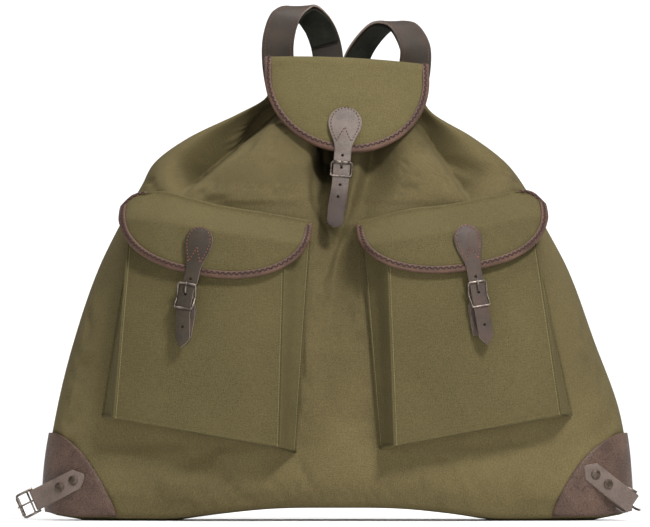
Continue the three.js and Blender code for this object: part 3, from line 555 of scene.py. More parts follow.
def frontOf(x, z):
    u, power = sackShare(x, z), sackSettings["frontFull"]
    return -sackFront(z) * (1 - u ** power) ** (1 / power) + foldDepth(x, z, mainFolds) * (1 - u ** 4)


def backOf(x, z):
    return sackBack(z) * (1 - sackShare(x, z) ** sackSettings["backFull"]) ** 0.5


def saddle(x, z):  # the front, carried straight on where the sack turns away to its side
    middle, half = sackSpan(z)
    half = half * sackSettings["saddle"]
    side = np.sign(x - middle)
    edge = middle + side * half
    inner = edge - side * 4
    slope = (frontOf(edge, z) - frontOf(inner, z)) / (edge - inner) * sackSettings["saddleSlope"]
    return np.where(np.abs(x - middle) <= half, frontOf(x, z), frontOf(edge, z) + slope * (x - edge))


def sackSkin(u, z, behind, dressed=False):
    middle, half = sackSpan(z)
    x = middle + half * u
    y = backOf(x, z) if behind else frontOf(x, z)
    if dressed:
        y = y + foldDepth(x, z, neckFolds) * (1 - u ** 4) + pleatDepth(x, z, neckPleats) * (1 - u ** 8)
        y = y + runDepth(x, z, neckRuns)
        room, deepest = sackSettings["foldRoom"], sackSettings["foldReach"] * backOf(x, z)
        y = -room * np.logaddexp(-y / room, -deepest / room)  # no fold reaches the back
    foot = sackSettings["low"]
    low = 1 - np.clip((z - foot) / sackSettings["rimReach"], 0, 1)
    return np.stack([x, y, z - foot * low + (baseLift(x) + sackSettings["edgeLift"]) * low ** 2], axis=-1)


def ripple(grid, amount, size, seed, share=None):  # slow unevenness of filled canvas, moved along y
    moved = grid.copy()
    for i, j in np.ndindex(grid.shape[:2]):
        x, y, z = grid[i, j] / size
        slow, fast = Vector((x + seed, y, z)), Vector((x * 3 + seed, y * 3, z * 3))
        step = noise.noise(slow) + 0.35 * noise.noise(fast)
        moved[i, j, 1] += amount * step * (1 if share is None else share[i, j])
    return moved


def spacedBy(weight, low, high, count):  # places set closer together where the weight is high
    fine = np.linspace(low, high, 2000)
    gone = np.cumsum(weight(fine))
    gone = (gone - gone[0]) / (gone[-1] - gone[0])
    return np.interp(np.linspace(0, 1, count), gone, fine)


def clothSettle(grid, held, settings):  # how far the cloth moves when it is blown up a little
    piece = gridPiece("clothTrial", grid, closed=True)
    group = piece.vertex_groups.new(name="held")
    for index, weight in enumerate(held.reshape(-1)):
        if weight > 0:
            group.add([index], float(weight), "REPLACE")
    modifier = piece.modifiers.new("cloth", "CLOTH")
    for key, value in settings["cloth"].items():
        setattr(modifier.settings, key, value)
    modifier.settings.effector_weights.gravity = 0
    modifier.collision_settings.use_collision = False
    modifier.point_cache.frame_start, modifier.point_cache.frame_end = 1, settings["frames"]
    for step in range(1, settings["frames"] + 1):
        bpy.context.scene.frame_set(step)
    shown = piece.evaluated_get(bpy.context.evaluated_depsgraph_get())
    places = np.zeros(len(shown.data.vertices) * 3)
    shown.data.vertices.foreach_get("co", places)
    moved = (places.reshape(-1, 3) / mm - frameShift - grid.reshape(-1, 3)).reshape(grid.shape)
    bpy.context.scene.frame_set(1)
    bpy.data.objects.remove(piece)
    far = np.linalg.norm(moved, axis=2, keepdims=True)
    return moved * np.minimum(1, settings["most"] / np.maximum(far, 1e-6))


def sackHeld(grid, settings):  # 1 where something is sewn or lies on the sack, 0 where the canvas is free
    x, z = grid[..., 0], grid[..., 2]
    front = grid[..., 1] < 0
    middle, half = sackSpan(np.clip(z, sackSettings["low"], sackSettings["high"]))
    seam = (np.abs(x - middle) > half * settings["seam"]) | (z < settings["low"]) | (z > settings["high"])
    held = np.where(seam, 1.0, 0.0)
    for pocket in settings["pockets"]:
        across, up = pocket["sign"] * x, (z - pocket["low"]) / (pocket["high"] - pocket["low"])
        share = np.clip(up, 0, 1)
        outer, inner = [lerp(pocket[k + "Low"], pocket[k + "High"], share) for k in ("outer", "inner")]
        held = np.where(front & (up > 0) & (up < 1) & (across > inner) & (across < outer), 1.0, held)
    low, high, half = settings["lid"]
    held = np.where(front & (z > low) & (z < high) & (np.abs(x) < half), 1.0, held)
    creased = np.maximum(pleatDepth(x, z, neckPleats) / settings["pleat"],
                         np.abs(runDepth(x, z, neckRuns)) / settings["run"])
    return np.maximum(held, np.where(front, smooth(creased), 0))


def readGrid(values, rows, columns):  # a coarse closed grid of moves, read between its points
    coarse = np.concatenate([values, values[:, :1]], axis=1)
    i0 = np.minimum(rows.astype(int), coarse.shape[0] - 2)
    j0 = np.minimum(columns.astype(int), coarse.shape[1] - 2)
    a, b = smooth(rows - i0)[:, None, None], smooth(columns - j0)[None, :, None]
    low, high = [lerp(coarse[i0 + k][:, j0], coarse[i0 + k][:, j0 + 1], b) for k in (0, 1)]
    return lerp(low, high, a)


def blownUp(wall, held, settings):
    step = settings["step"]
    rows = np.unique(np.append(np.arange(0, wall.shape[0], step), wall.shape[0] - 1))
    columns = np.arange(0, wall.shape[1], step)
    moves = clothSettle(wall[rows][:, columns], held[rows][:, columns], settings)
    print("sack blown up in", settings["frames"], "steps")
    fineRows = np.interp(np.arange(wall.shape[0]), rows, np.arange(len(rows)))
    return wall + readGrid(moves, fineRows, np.arange(wall.shape[1]) / step)


def makeSack(settings):
    low, dense, high, half = settings["low"], settings["dense"], settings["high"], settings["rings"] // 2
    levels = np.linspace(low, dense, half, endpoint=False), np.linspace(dense, high, half)
    z = np.concatenate(levels)[:, None]
    u = spacedBy(lambda u: 1 + 1.6 * np.exp(-(u / 0.42) ** 2) + 2.4 * np.exp(-((np.abs(u) - 1) / 0.07) ** 2),
                 -1, 1, settings["frontColumns"] + 1)
    t = np.linspace(1, -1, settings["backColumns"] + 1)[1:-1]
    wall = np.concatenate([sackSkin(u[None, :], z, False, True),
                           sackSkin(np.sin(t * math.pi / 2)[None, :], z, True)], axis=1)
    held = sackHeld(wall, heldSettings)
    wall = blownUp(wall, held, clothSettings)
    wall = ripple(wall, *settings["ripple"], 1 - held * 0.85)
    rim = wall[0]
    shares = np.linspace(0.02, 0.97, settings["baseRings"])
    turned = np.clip((shares - 0.86) / 0.14, 0, 1) * 0.75
    base = np.stack([np.stack([rim[:, 0] * s, rim[:, 1] * s,
                               baseLift(rim[:, 0] * s) + (rim[:, 2] - baseLift(rim[:, 0])) * k], axis=-1)
                     for s, k in zip(shares, turned)])
    grid = np.concatenate([base, wall])
    piece = gridPiece("sack", grid, closed=True)
    tied(piece, range(grid.shape[1]))
    return applied(piece, "SOLIDIFY", thickness=settings["canvas"] * mm, offset=-1.0)


sack = finishPiece(makeSack(sackSettings), "bag", "canvas", bodyCanvas, "bag_body")
print("sack made")


# Sheets that hang from a line: the lid and the pocket flaps

edgeSettings = {"width": 6.7, "over": 1.6, "leather": 1.3, "gap": 0.8, "pitch": 2.9, "slant": 0.8,
                "stitch": (3.9, 0.8), "line": 0.38, "round": 22}


def hem(shape, share, inset=0.0):
    across, down = -np.cos(share * math.pi), np.abs(np.sin(share * math.pi))
    power = 2 / np.where(across < 0, *shape["rounding"])
    a = (np.where(across < 0, *shape["ends"]) - inset) * np.sign(across) * np.abs(across) ** power
    fall = (shape["drop"] - inset - shape["straight"]) * (1 + shape["lean"] * a / shape["half"])
    return a, shape["straight"] + fall * down ** power


def sheetNormal(at, a, f):
    return unit(np.cross(at(a, f + 0.6) - at(a, f - 0.6), at(a + 0.6, f) - at(a - 0.6, f)))


def hemStations(shape, sides, count):
    reach = edgeSettings["width"] - edgeSettings["over"]
    outer, (left, right) = shape.get("outer", 0), shape["ends"]
    low = reach if outer else sides[0]
    rows = [((-left, f), (-(left - reach), max(f, low))) for f in sides]
    rows += [(hem(shape, share), hem(shape, share, reach)) for share in np.linspace(0, 1, count)]
    rows += [((right, f), (right - reach, max(f, low))) for f in reversed(sides)]
    if outer:  # the outer end goes on round the corner along the top
        half, along = left if outer < 0 else right, edgeSettings["round"]
        top = [((outer * (half - 1 - along * t), 0.0),
                (outer * min(half - 1 - along * t, half - reach), reach * lerp(1, 0.16, smooth(t * 1.2))))
               for t in np.linspace(0, 1, 14)]
        rows = top[::-1] + rows if outer < 0 else rows + top
    return rows


def edgePieces(name, at, shape, sides, count):  # leather folded round the edge, and its row of stitches
    s, thick = edgeSettings, shape["thick"]
    slot, full = thick / 2 + s["gap"] * 0.4, thick / 2 + s["gap"] + s["leather"]
    points, line, outs = [], [], []
    for rim, inner in hemStations(shape, sides, count):
        outer = lerp(slot + 0.35, full, smooth((rim[1] + 3) / 11))
        edgeN, rootN = sheetNormal(at, *rim), sheetNormal(at, *inner)
        edge, root = at(*rim) - edgeN * thick / 2, at(*inner) - rootN * thick / 2
        out = unit(edge - root)

        def by(t, away, lift):
            return lerp(root, edge, t) + out * away + lerp(rootN, edgeN, t) * lift

        section = [by(0, -0.6, slot), by(0, -0.5, outer * 0.86), by(0.12, 0, outer),
                   by(0.5, 0, outer * 1.06), by(0.9, 0, outer)]
        section += [by(1, s["over"] * math.cos(a) + 0.2, outer * math.sin(a))
                    for a in np.radians((70, 40, 0, -40, -70))]
        section += [by(0.9, 0, -outer), by(0.12, 0, -outer), by(0, -0.5, -outer * 0.86), by(0, -0.6, -slot),
                    by(0.9, 0, -slot), by(0.9, 0, slot)]
        points.append(section[::-1])
        line.append(by(s["line"], 0, outer * 1.05))
        outs.append(lerp(rootN, edgeN, s["line"]))
    band = meshPiece(name + "Edge", [p for section in points for p in section],
                     tubeFaces(len(points), len(points[0])))
    edited(band, (bpy.ops.mesh.normals_make_consistent, {"inside": False}))
    runs = stitchRuns(line, outs, s["pitch"], 0.1, s["slant"])
    return band, stitchPiece(name + "EdgeStitches", runs, *s["stitch"])


def declareSheet(grid, held):  # the cut before sewing, from the sheet's lengths
    a, b = np.diff(grid, axis=0), np.diff(grid, axis=1)
    across, along = np.linalg.norm(b, axis=2).sum(axis=1), np.linalg.norm(a, axis=2).sum(axis=0)
    width = (across.max() if held == "stretched" else across.min()) * mm  # a curved hem is longer
    length = along.max() * mm
    area = np.linalg.norm(np.cross(a[:, :-1], b[:-1]), axis=2).sum() * mm * mm
    float(min(area, width * length))


lidSettings = {"middle": 10, "half": 82, "ends": (82, 82), "drop": 92.5, "straight": 16, "rounding": (2, 2),
               "lean": 0.0, "thick": 2.4, "topLeft": 471, "topRight": 463, "curl": 20, "round": 3,
               "columns": 72, "rows": 40, "behind": -94, "ripple": (1.1, 40.0, 8.0),
               "sides": (-70, -60, -47, -35, -22, -8, 0, 8)}
lidProfile = table("f y sink", (-94, 57.5, 30), (-70, 57, 9), (-47, 42, 0.5), (-22, 0, -1.5), (0, -38, 0),
                   (9.4, -45, 9.4), (47, -67, 47), (96, -87, 96))
lidDepth, lidSink = [lineThrough(lidProfile, "f", k) for k in ("y", "sink")]


def lidAt(a, f):
    s = a / lidSettings["half"]
    bent = lidSettings["curl"] * s * s * np.clip(1 + f / 70, 0, 1)
    top = lerp(lidSettings["topLeft"], lidSettings["topRight"], (s + 1) / 2) - lidSettings["round"] * s * s
    x, y, z = lidSettings["middle"] + a, lidDepth(f) + bent, top - lidSink(f)
    return np.stack(np.broadcast_arrays(x, y, z), axis=-1)


def makeLid(settings):
    a, f = hem(settings, np.linspace(1, 0, settings["columns"] + 1))
    above = np.linspace(settings["behind"], 0, settings["rows"], endpoint=False)[:, None]
    rows = np.concatenate([np.broadcast_to(above, (settings["rows"], len(a))),
                           f[None, :] * np.linspace(0, 1, settings["rows"])[:, None]])
    grid = ripple(lidAt(np.broadcast_to(a, rows.shape), rows), *settings["ripple"])
    piece = applied(gridPiece("lidSheet", grid), "SOLIDIFY", thickness=settings["thick"] * mm, offset=-1.0)
    return piece, grid


lid, lidGrid = makeLid(lidSettings)
finishPiece(lid, "bag", "canvas", lidCanvas, "lid")
lidEdge, lidStitches = edgePieces("lid", lidAt, lidSettings, lidSettings["sides"], 96)
finishPiece(lidEdge, "bag", "binding_leather", bindingLeather, "lid_binding")
finishPiece(lidStitches, "bag", "binding_leather", brownThread)
declareSheet(lidGrid, "draped")
print("lid made")


# Pockets and their flaps

pocketSettings = {"depth": 30, "bulge": 4, "canvas": 2.0, "columns": 52, "rows": 56, "gusset": 7,
                  "wide": 165.0, "off": 2.4, "reach": 40, "ridge": 2.3, "sag": 4.0, "ripple": (0.9, 45.0),
                  "pitch": 2.8, "stitch": (2.6, 0.62), "near": (0, 0.5, 1, 1.6, 2.3, 3.2, 4.1, 5.4),
                  "nearSeam": (0, 0.5, 1, 1.7, 2.5, 3.3, 4.2, 5.4), "sewnColumn": 5, "merge": 0.00002}
flapSettings = {"lift": 34, "sewn": 5.8, "rise": 24, "straight": 9, "thick": 2.0, "crestReach": 30,
                "columns": 90, "rows": 36, "roll": 2.5, "ripple": (1.2, 38.0), "sides": (0, 4)}
pockets = {
    "left": {"seeds": (5.0, 21.0),
             "sewn": {"topOuter": (-207, 290), "topInner": (-27, 283), "lowInner": (-42, 70),
                      "lowOuter": (-237, 106)},
             "face": {"topOuter": (-212, 284), "topInner": (-52, 270), "lowInner": (-57, 75),
                      "lowOuter": (-227, 104)},
             "flap": {"outer": -1, "middle": (-120, 315), "tilt": -8, "half": 98, "drop": 67,
                      "ends": (98, 95), "rounding": (2.5, 2.1), "lean": 0.0,
                      "crest": table("along rise", (0, 0), (0.14, 0.4), (0.28, 1.3), (0.42, 1.7),
                                     (0.53, 2.6), (0.64, 5.2), (0.77, 8.0), (0.86, 7.4), (0.92, 4.6),
                                     (0.96, 0), (1, -10))}},
    "right": {"seeds": (11.0, 27.0),
              "sewn": {"topOuter": (195, 300), "topInner": (26, 285), "lowInner": (43, 74),
                       "lowOuter": (237, 107)},
              "face": {"topOuter": (200.5, 293), "topInner": (50, 268), "lowInner": (57, 76),
                       "lowOuter": (228, 108)},
              "flap": {"outer": 1, "middle": (114, 315), "tilt": 9, "half": 96.5, "drop": 62,
                       "ends": (95, 96.5), "rounding": (2.1, 2.5), "lean": 0.06,
                       "crest": table("along rise", (0, 0), (0.12, 1.8), (0.3, 4.6), (0.45, 3.2),
                                      (0.56, 3.2), (0.67, 4.4), (0.78, 5.2), (0.86, 7.2), (0.91, 6.4),
                                      (0.955, 2), (1, -9))}},
}


def cornerBlend(corners, s, t):
    top, low = [lerp(*[np.array(corners[level + end])[:, None, None] for end in ("Outer", "Inner")], s)
                for level in ("top", "low")]
    return lerp(low, top, t)


def seamBump(d, high):  # an edge-stitched seam: a rounded ridge, then the groove that the stitches pull
    return high * np.exp(-((d - 0.9) / 1.1) ** 2) - 0.28 * high * np.exp(-((d - 3.2) / 0.9) ** 2)


def makePocket(side, spec, settings):
    wide, reach = settings["wide"], settings["reach"]
    near = np.array(settings["near"]) / wide
    between = np.linspace(near[-1], 1 - near[-1], settings["columns"])[1:-1]
    s = np.concatenate([near, between, 1 - near[::-1]])[None, :]
    t = np.concatenate([near, np.linspace(near[-1], 1, settings["rows"])[1:]])[:, None]
    foot = np.zeros((1, 1))

    def seam(s, t):
        x, z = cornerBlend(spec["sewn"], s, t)
        return np.stack([x, frontOf(x, z) - settings["off"], z], axis=-1)

    x, z = cornerBlend(spec["face"], s, t)
    bulge = settings["bulge"] * np.sin(math.pi * s) * np.sin(math.pi * np.clip(t, 0, 0.8))
    depth = settings["depth"] * (1 - 0.45 * (1 - s) ** 4 * t ** 4)
    ridge = np.maximum(seamBump(np.minimum(np.minimum(s, 1 - s) * wide, reach), settings["ridge"]),
                       seamBump(t * wide, settings["ridge"] * 0.5))
    panel = ripple(np.stack([x, saddle(x, z) - depth - bulge - ridge, z], axis=-1), *settings["ripple"],
                   spec["seeds"][0])
    away = np.concatenate([settings["nearSeam"], np.linspace(7, reach, settings["gusset"])])
    wings = []
    for end, column in ((0.0, panel[:, :1]), (1.0, panel[:, -1:])):
        sewn = seam(foot + end, t)
        gap = np.linalg.norm(column - sewn, axis=2)
        shares = away[None, :] / np.where(away < 6, gap, reach) * np.where(away < 6, 1.0, 0.985)
        strip = sewn + (column - sewn) * shares[..., None]
        strip[..., 1] -= seamBump(away, settings["ridge"])[None, :]
        strip[..., 1] += settings["sag"] * np.sin(math.pi * np.clip(shares, 0, 1)) ** 2
        wings.append(strip)
    body = np.concatenate([wings[0], panel, wings[1][:, ::-1]], axis=1)
    corner = np.zeros((1, len(away)))
    lowSeam = np.concatenate([seam(across, foot) for across in (corner, s, corner + 1)], axis=1)
    under = np.concatenate([lerp(lowSeam, body[:1], k) for k in np.linspace(0, 1, settings["gusset"])[:-1]])
    grid = np.concatenate([under, body])
    piece = gridPiece(side + "Pocket", grid, flip=side == "right")
    edited(piece, (bpy.ops.mesh.remove_doubles, {"threshold": settings["merge"]}))
    applied(piece, "SOLIDIFY", thickness=settings["canvas"] * mm, offset=-1.0)
    k, runs = settings["sewnColumn"], []
    for column in (k, len(away) + k, len(away) + panel.shape[1] - k - 1, grid.shape[1] - k - 1):
        line = body[:, column] - np.array((0, 0.15, 0))
        runs += stitchRuns(line, np.tile((0.0, -1.0, 0.0), (len(line), 1)), settings["pitch"])
    return piece, stitchPiece(side + "PocketStitches", runs, *settings["stitch"]), grid


def flapSurface(shape):
    tilt = math.radians(shape["tilt"])
    cos, sin = math.cos(tilt), math.sin(tilt)
    crestLine = lineThrough(shape["crest"], "along", "rise")

    def at(a, f):
        a, f = np.broadcast_arrays(np.asarray(a, float), np.asarray(f, float))
        crest = crestLine((1 + shape["outer"] * a / shape["half"]) / 2)
        down = f - crest * np.maximum(1 - f / shape["crestReach"], 0)
        x = shape["middle"][0] + cos * a + sin * down
        z = shape["middle"][1] + sin * a - cos * down
        lift = shape["lift"] * smooth(f / shape["rise"])
        lift = lift * (1 - 0.45 * np.clip(np.abs(a / shape["half"]), 0, 1) ** 5)
        return np.stack([x, saddle(x, z) - shape["sewn"] - lift, z], axis=-1)
    return at, np.array((-sin, 0, cos))


def makeFlap(side, shape, seed):
    at, up = flapSurface(shape)
    a, f = hem(shape, np.linspace(1, 0, shape["columns"] + 1))
    rows = f[None, :] * np.linspace(0, 1, shape["rows"])[:, None] ** 1.15
    grid = at(np.broadcast_to(a, rows.shape), rows)
    roll = shape["roll"] * smooth((shape["half"] - shape["outer"] * a - 20) / 24)[:, None]
    turns = [grid[0] + roll * ((1 - math.cos(k)) * np.array((0, 1, 0)) + math.sin(k) * up)
             for k in np.linspace(math.pi, 0, 9)[:-1]]
    grid = ripple(np.concatenate([np.stack(turns), grid]), *shape["ripple"], seed)
    piece = applied(gridPiece(side + "Flap", grid), "SOLIDIFY", thickness=shape["thick"] * mm, offset=-1.0)
    return piece, *edgePieces(side + "Flap", at, shape, shape["sides"], 110), grid


for side, spec in pockets.items():
    pocket, pocketStitches, pocketGrid = makePocket(side, spec, pocketSettings)
    finishPiece(pocket, "bag", "canvas", pocketCanvas, side + "_pocket")
    finishPiece(pocketStitches, "bag", "canvas", oliveThread)
    shape = {**flapSettings, **spec["flap"]}
    flap, flapEdge, flapStitches, flapGrid = makeFlap(side, shape, spec["seeds"][1])
    finishPiece(flap, "bag", "canvas", pocketCanvas, side + "_pocket_flap")
    finishPiece(flapEdge, "bag", "binding_leather", bindingLeather, side + "_pocket_binding")
    finishPiece(flapStitches, "bag", "binding_leather", brownThread)
    declareSheet(pocketGrid, "stretched")
    declareSheet(flapGrid, "draped")
print("pockets made")


# Closures: tongue, buckle with prong, and the chape that holds the buckle

pocketClosure = {"half": 7.5, "pear": 14.5, "top": 72, "below": 52, "tip": 9.0, "tipRound": 1.15,
                 "reach": 12.5, "holes": (-31.5, 2.0, 18)}
closures = {
    "lid": {"at": (0.0135, -0.0767, 0.3543), "x": (0.9972, -0.0169, -0.0731), "y": (0, 0.9744, -0.225),
            "z": (0.075, 0.2243, 0.9716), "half": 8.5, "pear": 17.0, "top": 67, "below": 60, "tip": 8.0,
            "tipRound": 2.0, "reach": 7.2, "aside": 0.0, "swerve": 0.0, "sway": -2.3,
            "holes": (-28.5, -16, 2.0, 15),
            "rises": table("z n", (-62, 3.95), (9, 3.95), (15.7, 3.2), (21.7, 3.1), (27.7, 2.5), (31.7, 1.7),
                           (40.4, 0.15), (48.7, -1.15), (57.3, -2.6), (66.7, -4.6), (68, -4.9))},
    "left_pocket": {**pocketClosure, "at": (-0.1429, -0.11843, 0.227), "x": (0.949, -0.2791, -0.1466),
                    "y": (0.262, 0.9568, -0.1257), "z": (0.1754, 0.0809, 0.9812),
                    "aside": 4.5, "swerve": 2.6, "sway": 4.6,
                    "rises": table("z n", (-53, 3.95), (8, 3.95), (14, 3.5), (20, 3.1), (32, 2.8), (41, 1.9),
                                   (50, 1.15), (58.7, 0.4), (67.5, -0.6), (73, -2.0))},
    "right_pocket": {**pocketClosure, "at": (0.1511, -0.11885, 0.229), "x": (0.9505, 0.274, 0.1465),
                     "y": (-0.2556, 0.9577, -0.1325), "z": (-0.1766, 0.0885, 0.9803),
                     "aside": -4.5, "swerve": 0.0, "sway": 0.0,
                     "rises": table("z n", (-53, 3.95), (8, 3.95), (14, 3.5), (20, 3.1), (32, 2.8),
                                    (41, 1.85), (50, 0.95), (58.7, 0.15), (67.5, -1.0), (73, -3.0))},
}
buckleSettings = {"wire": 1.0, "bow": 6.3, "arm": 1.9, "prong": 0.8, "roller": 1.4}
tongueSettings = {"leather": 2.1, "taper": 46, "rounding": 0.55, "hole": 1.5, "sewn": 0.82, "inset": 2.6,
                  "least": 3.5, "peak": 22, "pitch": 3.5, "lift": 0.05, "stitch": (1.7, 0.62)}
chapeSettings = {"below": 40, "leather": 1.3, "front": -2.5, "back": -4.05, "loop": 1.95, "narrower": 0.6}


def closureSpot(spec):
    origin = np.array(spec["at"]) / mm - frameShift
    x, y, z = (np.array(spec[k]) for k in "xyz")
    return lambda across, out, up: origin + x * across - y * out + z * up


def circle(radius, first, last, count):
    angles = np.radians(np.linspace(first, last, count))
    return [(math.cos(a) * radius, math.sin(a) * radius) for a in angles]


def punch(piece, places, way, radius):  # round holes through a piece, cut one by one
    turn = Vector((0, 0, 1)).rotation_difference(Vector(way)).to_matrix().to_4x4()
    for place in places:
        bpy.ops.object.select_all(action="DESELECT")
        bpy.ops.mesh.primitive_cylinder_add(vertices=20, radius=radius * mm, depth=12 * mm)
        cutter = bpy.context.object
        cutter.data.transform(Matrix.Translation(Vector((place + frameShift) * mm)) @ turn)
        applied(piece, "BOOLEAN", operation="DIFFERENCE", object=cutter, solver="EXACT")
        bpy.data.objects.remove(cutter)
    only(piece)
    bpy.ops.object.shade_smooth_by_angle(angle=math.radians(38))


def makeTongue(name, spec, leather, s):
    spot, rise = closureSpot(spec), lineThrough(spec["rises"], "z", "n")
    top, below, pear, half, tip, tipRound = (spec[k] for k in "top below pear half tip tipRound".split())

    def halfAt(z):
        if z < -below + tip:
            return max(half * max(1 - ((-below + tip - z) / tip) ** tipRound, 0) ** (1 / tipRound), 0.7)
        down = top - z
        if down >= s["taper"]:
            return half
        if down < pear:
            return max(math.sqrt(max(pear ** 2 - (pear - down) ** 2, 0)), 0.9)
        return lerp(pear, half, smooth((down - pear) / (s["taper"] - pear)))

    def onLine(z):  # the tongue's middle, which bends a little above and below the buckle
        aside = spec["swerve"] * smooth((z - 4) / 18) + spec["sway"] * smooth((-10 - z) / 35)
        return spot(aside, rise(z), z)

    ups = np.concatenate([-below + tip * (1 - np.cos(np.linspace(0, math.pi / 2, 9)))[:-1],
                          np.linspace(-below + tip, top - pear, 46),
                          top - pear + pear * np.sin(np.linspace(0, math.pi / 2, 14))[1:]])
    stations = stationsAlong([onLine(z) for z in ups], [spec["x"]] * len(ups))
    halves = [halfAt(z) for z in ups]
    face = s["leather"] / 2
    piece = bandPiece(name + "Tongue", stations, halves, -face, face, s["rounding"], leather, rawEdge)
    punch(piece, [onLine(z) for z in spec["holes"]], -np.array(spec["y"]), s["hole"])
    sewn = [(*station, wide - s["inset"]) for z, station, wide in zip(ups, stations, halves)
            if z > top - s["taper"] * s["sewn"] and wide > s["least"]]
    right, left = [[middle + across * (side * wide) + out * face for middle, across, out, wide in sewn]
                   for side in (1, -1)]
    outs = [out for _, _, out, _ in sewn]
    closing, _, closingOut = stations[-3]
    peak = onLine(top - s["peak"]) + outs[0] * face
    runs = stitchRuns(right + [closing + closingOut * face] + left[::-1], outs + [closingOut] + outs[::-1],
                      s["pitch"], s["lift"])
    runs += stitchRuns([right[0], peak, left[0]], [outs[0]] * 3, s["pitch"], s["lift"])
    return piece, stitchPiece(name + "TongueStitches", runs, *s["stitch"])


def makeBuckle(name, spec, s):
    spot, reach, bow = closureSpot(spec), spec["reach"], s["bow"]
    arm = spec["half"] + s["arm"]
    loop = [spot(k * end * arm, n, up * end * reach) for end in (1, -1)
            for k, n, up in ((-1, 0, 0), (-1, bow, 1), (1, bow, 1))]
    ring = wirePiece(name + "Buckle", loop, s["wire"], ring=True)
    bars = [wirePiece(name + "BuckleBar", [spot(k * arm, 0, 0) for k in (-1, 0, 1)], s["wire"] * 0.85)]
    if name == "lid":
        ends = [spot(k * (arm - 2), bow + 0.2, reach) for k in (-1, 0, 1)]
        bars.append(wirePiece(name + "BuckleRoller", ends, s["roller"]))
    path = [(-2.1, 0.4), (-1.5, -1.5), (0, -2.1), (1.5, -1.5), (2.1, 0.2), (3, 2.2), (5.6, 3.2),
            (bow + 2.1, min(reach - 0.6, 8)), (bow + 2.1, reach + 1.6)]
    return joined(ring, *bars), wirePiece(name + "Prong", [spot(0, n, z) for n, z in path], s["prong"])


def makeChape(name, spec, s):
    spot, front, back = closureSpot(spec), s["front"], s["back"]
    path = [(front, -s["below"]), (front, -30), (front, -20), (front + 0.1, -9),
            *circle(s["loop"], -60, 240, 16), (back + 0.25, -7), (back, -12), (back, -26),
            (back, -s["below"])]
    points = [spot(spec["aside"] * smooth((-3 - z) / 9), n, z) for n, z in path]
    return bandPiece(name + "Chape", stationsAlong(points, [spec["x"]] * len(path)),
                     [spec["half"] - s["narrower"]] * len(path), -s["leather"] / 2, s["leather"] / 2, 0.3,
                     closureLeather, rawEdge)


for name, spec in closures.items():
    plain = name.replace("_pocket", "")
    leather = {"lid": paleLeather, "left_pocket": darkLeather}.get(name, closureLeather)
    tongue, tongueStitches = makeTongue(plain, spec, leather, tongueSettings)
    finishPiece(tongue, "bag", "closure_leather", leather, name + "_tongue")
    finishPiece(tongueStitches, "bag", "closure_leather", darkThread if name == "lid" else orangeThread)
    buckle, prong = makeBuckle(plain, spec, buckleSettings)
    finishPiece(buckle, "bag", "steel", buckleMetal, name + "_buckle")
    finishPiece(prong, "bag", "steel", buckleMetal, name + "_prong")
    chape = makeChape(plain, spec, chapeSettings)
    finishPiece(chape, "bag", "closure_leather", closureLeather, name + "_chape")
print("closures made")


# Bottom corners: patch, tab with rivets, and the open buckle or the hook

patchSettings = {"low": 9, "high": 88, "leather": 1.6, "off": 2.0, "rows": 36, "columns": 44, "pitch": 3.2,
                 "stitch": (2.1, 0.45), "sewnColumn": 2}
corners = {
    "left": {"sign": -1, "reach": 71, "tab": 58, "inner": 45.5, "outer": 29, "at": (-0.2954, -0.027, 0.0214),
             "x": (0.8403, -0.3395, 0.4226), "y": (0.3746, 0.9272, 0), "z": (-0.3918, 0.1583, 0.9063)},
    "right": {"sign": 1, "reach": 79, "tab": 62.5, "inner": 48, "outer": 31,
              "at": (0.3061, -0.03094, 0.0184), "x": (-0.7501, -0.3031, 0.5878), "y": (-0.3746, 0.9272, 0),
              "z": (-0.545, -0.2202, -0.809)},
}
tabSettings = {"half": 10.4, "point": 9, "back": 36, "ring": 2.75, "near": 1.35, "leather": 2.1}
rivetSettings = {"head": 5.0, "rim": 0.7, "off": 0.45, "soft": 0.12,
                 "dome": ((0.5, 0.55), (0.9, 0.45), (1.1, 0.3), (1.2, 0.15))}
cornerBuckleSettings = {"wire": 1.25, "half": 12, "keeper": 6.5, "far": 19, "roller": 1.9,
                        "rollerShort": 2.5, "prong": 0.9, "loose": 0.3}
hookSettings = {"wire": 1.3, "half": 12.2, "inward": 9, "behind": 5.5, "shank": 8.5, "nose": 13}


def patchEdge(z, reach, high):
    return reach * np.maximum(1 - (np.maximum(z - 8, 0) / (high - 6)) ** 1.6, 0) ** 0.72


def makePatch(side, spec, s):
    sign = spec["sign"]
    z = lerp(s["low"], s["high"], 1 - (1 - np.linspace(0, 1, s["rows"])) ** 1.5)[:, None]
    k = np.linspace(-1, 1, s["columns"] + 1)[None, :] * sign
    turn = np.arccos(np.clip(1 - patchEdge(z, spec["reach"], s["high"]) / sackSpan(z)[1], -1, 1))
    turn = turn * k * np.sqrt(np.abs(k))
    zs = np.broadcast_to(z, turn.shape)

    def on(angle, level):
        front, back = [sackSkin(sign * np.cos(angle), level, behind) for behind in (False, True)]
        return np.where((angle > 0)[..., None], back, front)

    across, up = on(turn + 0.03, zs) - on(turn - 0.03, zs), on(turn, zs + 1.5) - on(turn, zs - 1)
    out = unit(np.cross(across, up)) * sign
    grid = on(turn, zs) + out * (s["off"] + s["leather"])
    piece = applied(gridPiece(side + "Patch", grid), "SOLIDIFY", thickness=s["leather"] * mm, offset=-1.0)
    column = s["sewnColumn"] if sign < 0 else -1 - s["sewnColumn"]
    runs = stitchRuns(grid[1:-2, column], out[1:-2, column], s["pitch"], 0.1)
    return piece, stitchPiece(side + "PatchStitches", runs, *s["stitch"])


